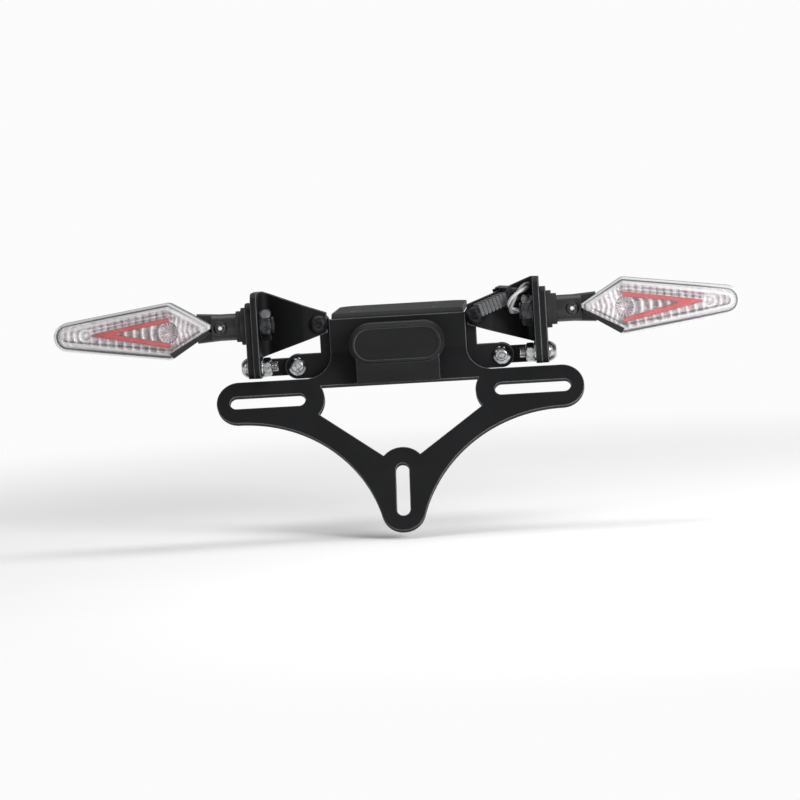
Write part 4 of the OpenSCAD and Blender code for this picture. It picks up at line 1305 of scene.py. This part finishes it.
    def bead_shell(self) -> Shell:
        """The sealing bead between lens and body: a small round section carried round the outline.

        The outline is walked in equal steps of its length, so that no two stations meet at a corner. The
        section stands along the line from the lamp's middle.
        """
        fine = self.outline(0.12, np.linspace(-math.pi, math.pi, 1441))
        run = walked(fine)
        steps = np.linspace(0, run[-1], 200, endpoint=False)
        ring = np.stack([np.interp(steps, run, fine[:, k]) for k in range(2)], axis=-1)
        a, r = around(10), self.bead_radius
        way = ring - np.array(self.bead_middle)
        way /= np.linalg.norm(way, axis=1, keepdims=True)
        flat = ring[:, None, :] + way[:, None, :] * (r * np.cos(a) - r)[None, :, None]
        y = np.broadcast_to(self.seam + 0.25 + r * np.sin(a)[None, :], flat.shape[:2])
        points = np.stack([flat[:, :, 0], y, flat[:, :, 1] + self.axis_z], axis=-1)
        return grid_shell(points, wrap_rows=True)

    def build(self) -> None:
        """Makes the lamp's pieces and dresses its CAD nodes."""
        word = self.side.word
        dress(self.nodes[f"lamp_lens_{word}"], Finishes.lens)
        dress(self.nodes[f"lamp_housing_{word}"], Finishes.housing)
        dress(self.nodes[f"lamp_collar_{word}"], Finishes.collar)
        dress(self.nodes[f"lamp_board_{word}"], Finishes.board)
        right_hand = (self.optic_shell(), self.guide_shell(), self.bead_shell())
        optic, guide, bead = (shell.on(self.side) for shell in right_hand)
        reflector = [f"lamp_reflector_{word}"]
        finished(f"lamp_optic_{word}", optic, Finishes.optic, reflector, sharp_deg=60.0)
        finished(f"red_guide_{word}", guide, Finishes.guide, [f"light_guide_{word}"])
        finished(f"lamp_bead_{word}", bead, Finishes.collar)


# Lead


@dataclass
class LampLead:
    """The right lamp's two wires, twisted together from the stem to the connector."""

    nodes: dict[str, bpy.types.Object]
    wire: float = 1.6
    pitch: float = 22.0
    apart: float = 1.06
    first_phase: float = 0.4
    route: tuple[tuple[float, float, float], ...] = (
        (70, -42.5, -3), (65, -42.5, -3), (60.2, -42.5, -3), (58.35, -42.65, -3),
        (56.8, -43.45, -2.85), (55.75, -44.7, -2.4), (55.2, -46.15, -1.6), (55.2, -47.4, -0.45),
        (55.6, -48.4, 0.95), (56.35, -49, 2.4), (57.35, -49.25, 3.8), (58.45, -49.1, 5.15),
        (59.65, -48.65, 6.35), (60.85, -47.9, 7.35), (61.95, -46.8, 8.15), (62.95, -45.45, 8.75),
        (63.65, -43.9, 9), (64, -42.2, 9), (63.95, -40.5, 8.7), (63.35, -39, 8.1),
        (62.3, -37.9, 7.3), (60.9, -37.45, 6.45), (59.28, -37.74, 5.71), (56.91, -38.95, 4.84),
    )  # fmt: skip

    def smooth_route(self, steps: int = 14) -> Array:
        """A Catmull-Rom line through the route's points.

        Args:
            steps: samples between two points.

        Returns:
            Points along the line, in millimetres.
        """
        p = np.array(self.route, float)
        p = np.vstack([2 * p[0] - p[1], p, 2 * p[-1] - p[-2]])
        a, b, c, d = p[:-3], p[1:-2], p[2:-1], p[3:]
        t = np.linspace(0, 1, steps, endpoint=False)[None, :, None]
        a, b, c, d = (q[:, None, :] for q in (a, b, c, d))
        square, cube = (2 * a - 5 * b + 4 * c - d) * t**2, (3 * b - a - 3 * c + d) * t**3
        line = 0.5 * (2 * b + (c - a) * t + square + cube)
        return np.vstack([line.reshape(-1, 3), p[-2]])

    @staticmethod
    def frames(line: Array) -> tuple[Array, Array]:
        """Two directions across a line at each station, carried along it without twist.

        Each station's first direction is the one before it, less its part along the line.
        """
        way = np.gradient(line, axis=0)
        way /= np.linalg.norm(way, axis=1, keepdims=True)
        side = np.zeros_like(way)
        held = np.cross(way[0], (0.0, 0.0, 1.0))
        for i, direction in enumerate(way):
            held = held - direction * (held @ direction)
            held = held / np.linalg.norm(held)
            side[i] = held
        return side, np.cross(way, side)

    def wire_line(self, phase: float) -> Array:
        """One wire's middle: the route, moved off it by a radius that turns once each pitch."""
        line = self.smooth_route()
        side, other = self.frames(line)
        a = (walked(line) / self.pitch * 2 * math.pi + phase)[:, None]
        return line + 0.5 * self.wire * self.apart * (side * np.cos(a) + other * np.sin(a))

    def wire_shell(self, line: Array) -> Shell:
        """A round tube along a wire's middle, closed at both ends."""
        side, other = self.frames(line)
        a = around(16)
        ring = side[:, None, :] * np.cos(a)[None, :, None] + other[:, None, :] * np.sin(a)[None, :, None]
        return grid_shell(line[:, None, :] + ring * self.wire / 2, cap_ends=True)

    def build(self) -> None:
        for number, finish in enumerate((Finishes.wire, Finishes.wire_two), start=1):
            line = self.wire_line(self.first_phase + (number - 1) * math.pi)
            stands_for = ["lamp_lead_right"] if number == 1 else []
            piece = finished(f"lamp_wire_{number}", self.wire_shell(line), finish, stands_for)
            path = [tuple(p) for p in line * MM]
        dress(self.nodes["connector_right"], Finishes.connector)
        dress(self.nodes["cable_tie"], Finishes.tie)


# Studio


@dataclass(frozen=True)
class SoftBox:
    """A rectangular area light aimed at a point, seen or not seen in glossy surfaces."""

    name: str
    place: tuple[float, float, float]
    aim: tuple[float, float, float]
    size: tuple[float, float]
    power: float
    mirrored: bool = True

    def build(self) -> None:
        """Adds the light to the scene."""
        data = bpy.data.lights.new(self.name, "AREA")
        data.shape = "RECTANGLE"
        data.size, data.size_y = self.size
        data.energy = self.power
        lamp = bpy.data.objects.new(self.name, data)
        lamp.visible_glossy = self.mirrored
        bpy.context.scene.collection.objects.link(lamp)
        lamp.location = self.place
        lamp.rotation_euler = (Vector(self.aim) - Vector(self.place)).to_track_quat("-Z", "Y").to_euler()


@dataclass
class Studio:
    """Camera, soft lights, pale world and pale floor."""

    target: tuple[float, float, float] = (0.0, -0.046, -0.003)
    azimuth: float = 3.1
    elevation: float = 3.0
    roll: float = 3.45
    distance: float = 1.74
    focal_px: float = 3608.0
    target_px: tuple[float, float] = (396.0, 318.0)
    image_px: float = 800.0
    sensor_mm: float = 36.0
    floor_z: float = -0.106
    world_light: float = 0.35
    world_mirrored: float = 0.13
    world_seen: float = 0.62
    boxes: tuple[SoftBox, ...] = (
        SoftBox("key_box", (0.8, -1.05, 0.5), (0.04, -0.04, -0.03), (0.5, 0.5), 6.5),
        SoftBox("near_box", (0.5, -0.5, 0.12), (0.14, -0.04, -0.01), (0.25, 0.3), 4.6, mirrored=False),
        SoftBox("side_box", (-1.2, -0.4, 0.6), (-0.05, -0.04, -0.03), (0.5, 0.7), 1.6),
        SoftBox("top_box", (0.0, 0.25, 1.0), (0, -0.04, -0.02), (1.2, 0.35), 5.0),
    )

    def camera(self) -> None:
        """Places the photograph's camera and aims it so that the target lands at its pixel of 800 x 800."""
        az, el, r = (math.radians(v) for v in (self.azimuth, self.elevation, self.roll))
        back = Vector((math.sin(az) * math.cos(el), -math.cos(az) * math.cos(el), math.sin(el)))
        level = Vector((math.cos(az), math.sin(az), 0.0))
        up = back.cross(level)
        right = level * math.cos(r) - up * math.sin(r)
        top = level * math.sin(r) + up * math.cos(r)
        dx, dy = (self.image_px / 2 - place for place in self.target_px)
        ahead = (-back + right * (dx / self.focal_px) - top * (dy / self.focal_px)).normalized()
        right = (right - ahead * right.dot(ahead)).normalized()
        top = right.cross(ahead)
        data = bpy.data.cameras.new("rear_camera")
        data.sensor_width, data.lens = self.sensor_mm, self.sensor_mm * self.focal_px / self.image_px
        data.clip_start, data.clip_end = 0.05, 50.0
        lens = bpy.data.objects.new("rear_camera", data)
        bpy.context.scene.collection.objects.link(lens)
        turn = Matrix((right, top, -ahead)).transposed().to_4x4()
        lens.matrix_world = Matrix.Translation(Vector(self.target) + back * self.distance) @ turn
        bpy.context.scene.camera = lens

    def world(self) -> None:
        """A white surround where it is seen, a dimmer one where it is mirrored, and a dimmer yet as light."""
        world = bpy.data.worlds.new("pale_world")
        bpy.context.scene.world = world
        graph = Graph(world)
        path = graph.node("ShaderNodeLightPath")
        seen = [Signal(graph, path.outputs[n]) for n in ("Is Camera Ray", "Is Transmission Ray")]
        mirrored = Signal(graph, path.outputs["Is Glossy Ray"])
        strength = seen[0].most(seen[1]) * self.world_seen + self.world_light + mirrored * self.world_mirrored
        white = {"Color": (1.0, 1.0, 1.0), "Strength": strength}
        tone = graph.value("ShaderNodeBackground", {}, white, "Background")
        graph.node("ShaderNodeOutputWorld", {}, {"Surface": tone})

    def floor(self) -> None:
        """A pale floor that keeps the shadow near the object and fades to white away from it."""
        rings = np.array([0.2, 300.0, 700.0, 1500.0, 4000.0, 12000.0])[:, None]
        ground = mesh_object("pale_floor", grid_shell(turned(rings, self.floor_z / MM, around(96))))
        material = bpy.data.materials.new("pale_floor")
        graph = Graph(material)
        place = graph.place()
        away = graph.value("ShaderNodeVectorMath", {"operation": "LENGTH"}, {0: place}, "Value")
        mottle = graph.noise(place, 0.02, 2.0)
        tone = graph.mixed(mottle, (0.93, 0.93, 0.93), (0.96, 0.96, 0.96))
        near = graph.value("ShaderNodeBsdfPrincipled", {}, {"Base Color": tone, "Roughness": 0.7}, "BSDF")
        far = graph.value("ShaderNodeEmission", {}, {"Color": (1.0, 1.0, 1.0), "Strength": 0.97}, "Emission")
        both = graph.value("ShaderNodeMixShader", {}, {0: away.eased(0.2, 0.62), 1: near, 2: far}, "Shader")
        graph.node("ShaderNodeOutputMaterial", {}, {"Surface": both})
        ground.data.materials.append(material)

    def build(self) -> None:
        """Sets up the whole studio in the Standard view."""
        bpy.context.scene.view_settings.view_transform = "Standard"
        self.camera()
        self.world()
        self.floor()
        for box in self.boxes:
            box.build()


def main() -> None:
    """Loads the frame, sets up the studio, and builds each sub-assembly in order."""
    logging.basicConfig(level=logging.INFO, format="%(name)s: %(message)s")
    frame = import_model()
    nodes = frame["nodes"]
    Studio().build()
    LampLead(nodes).build()
    Steelwork(nodes).build()
    PlateLight(nodes).build()
    for side in Side:
        RearLamp(side, nodes).build()
    Fasteners().build()


if __name__ == "__main__":
    main()
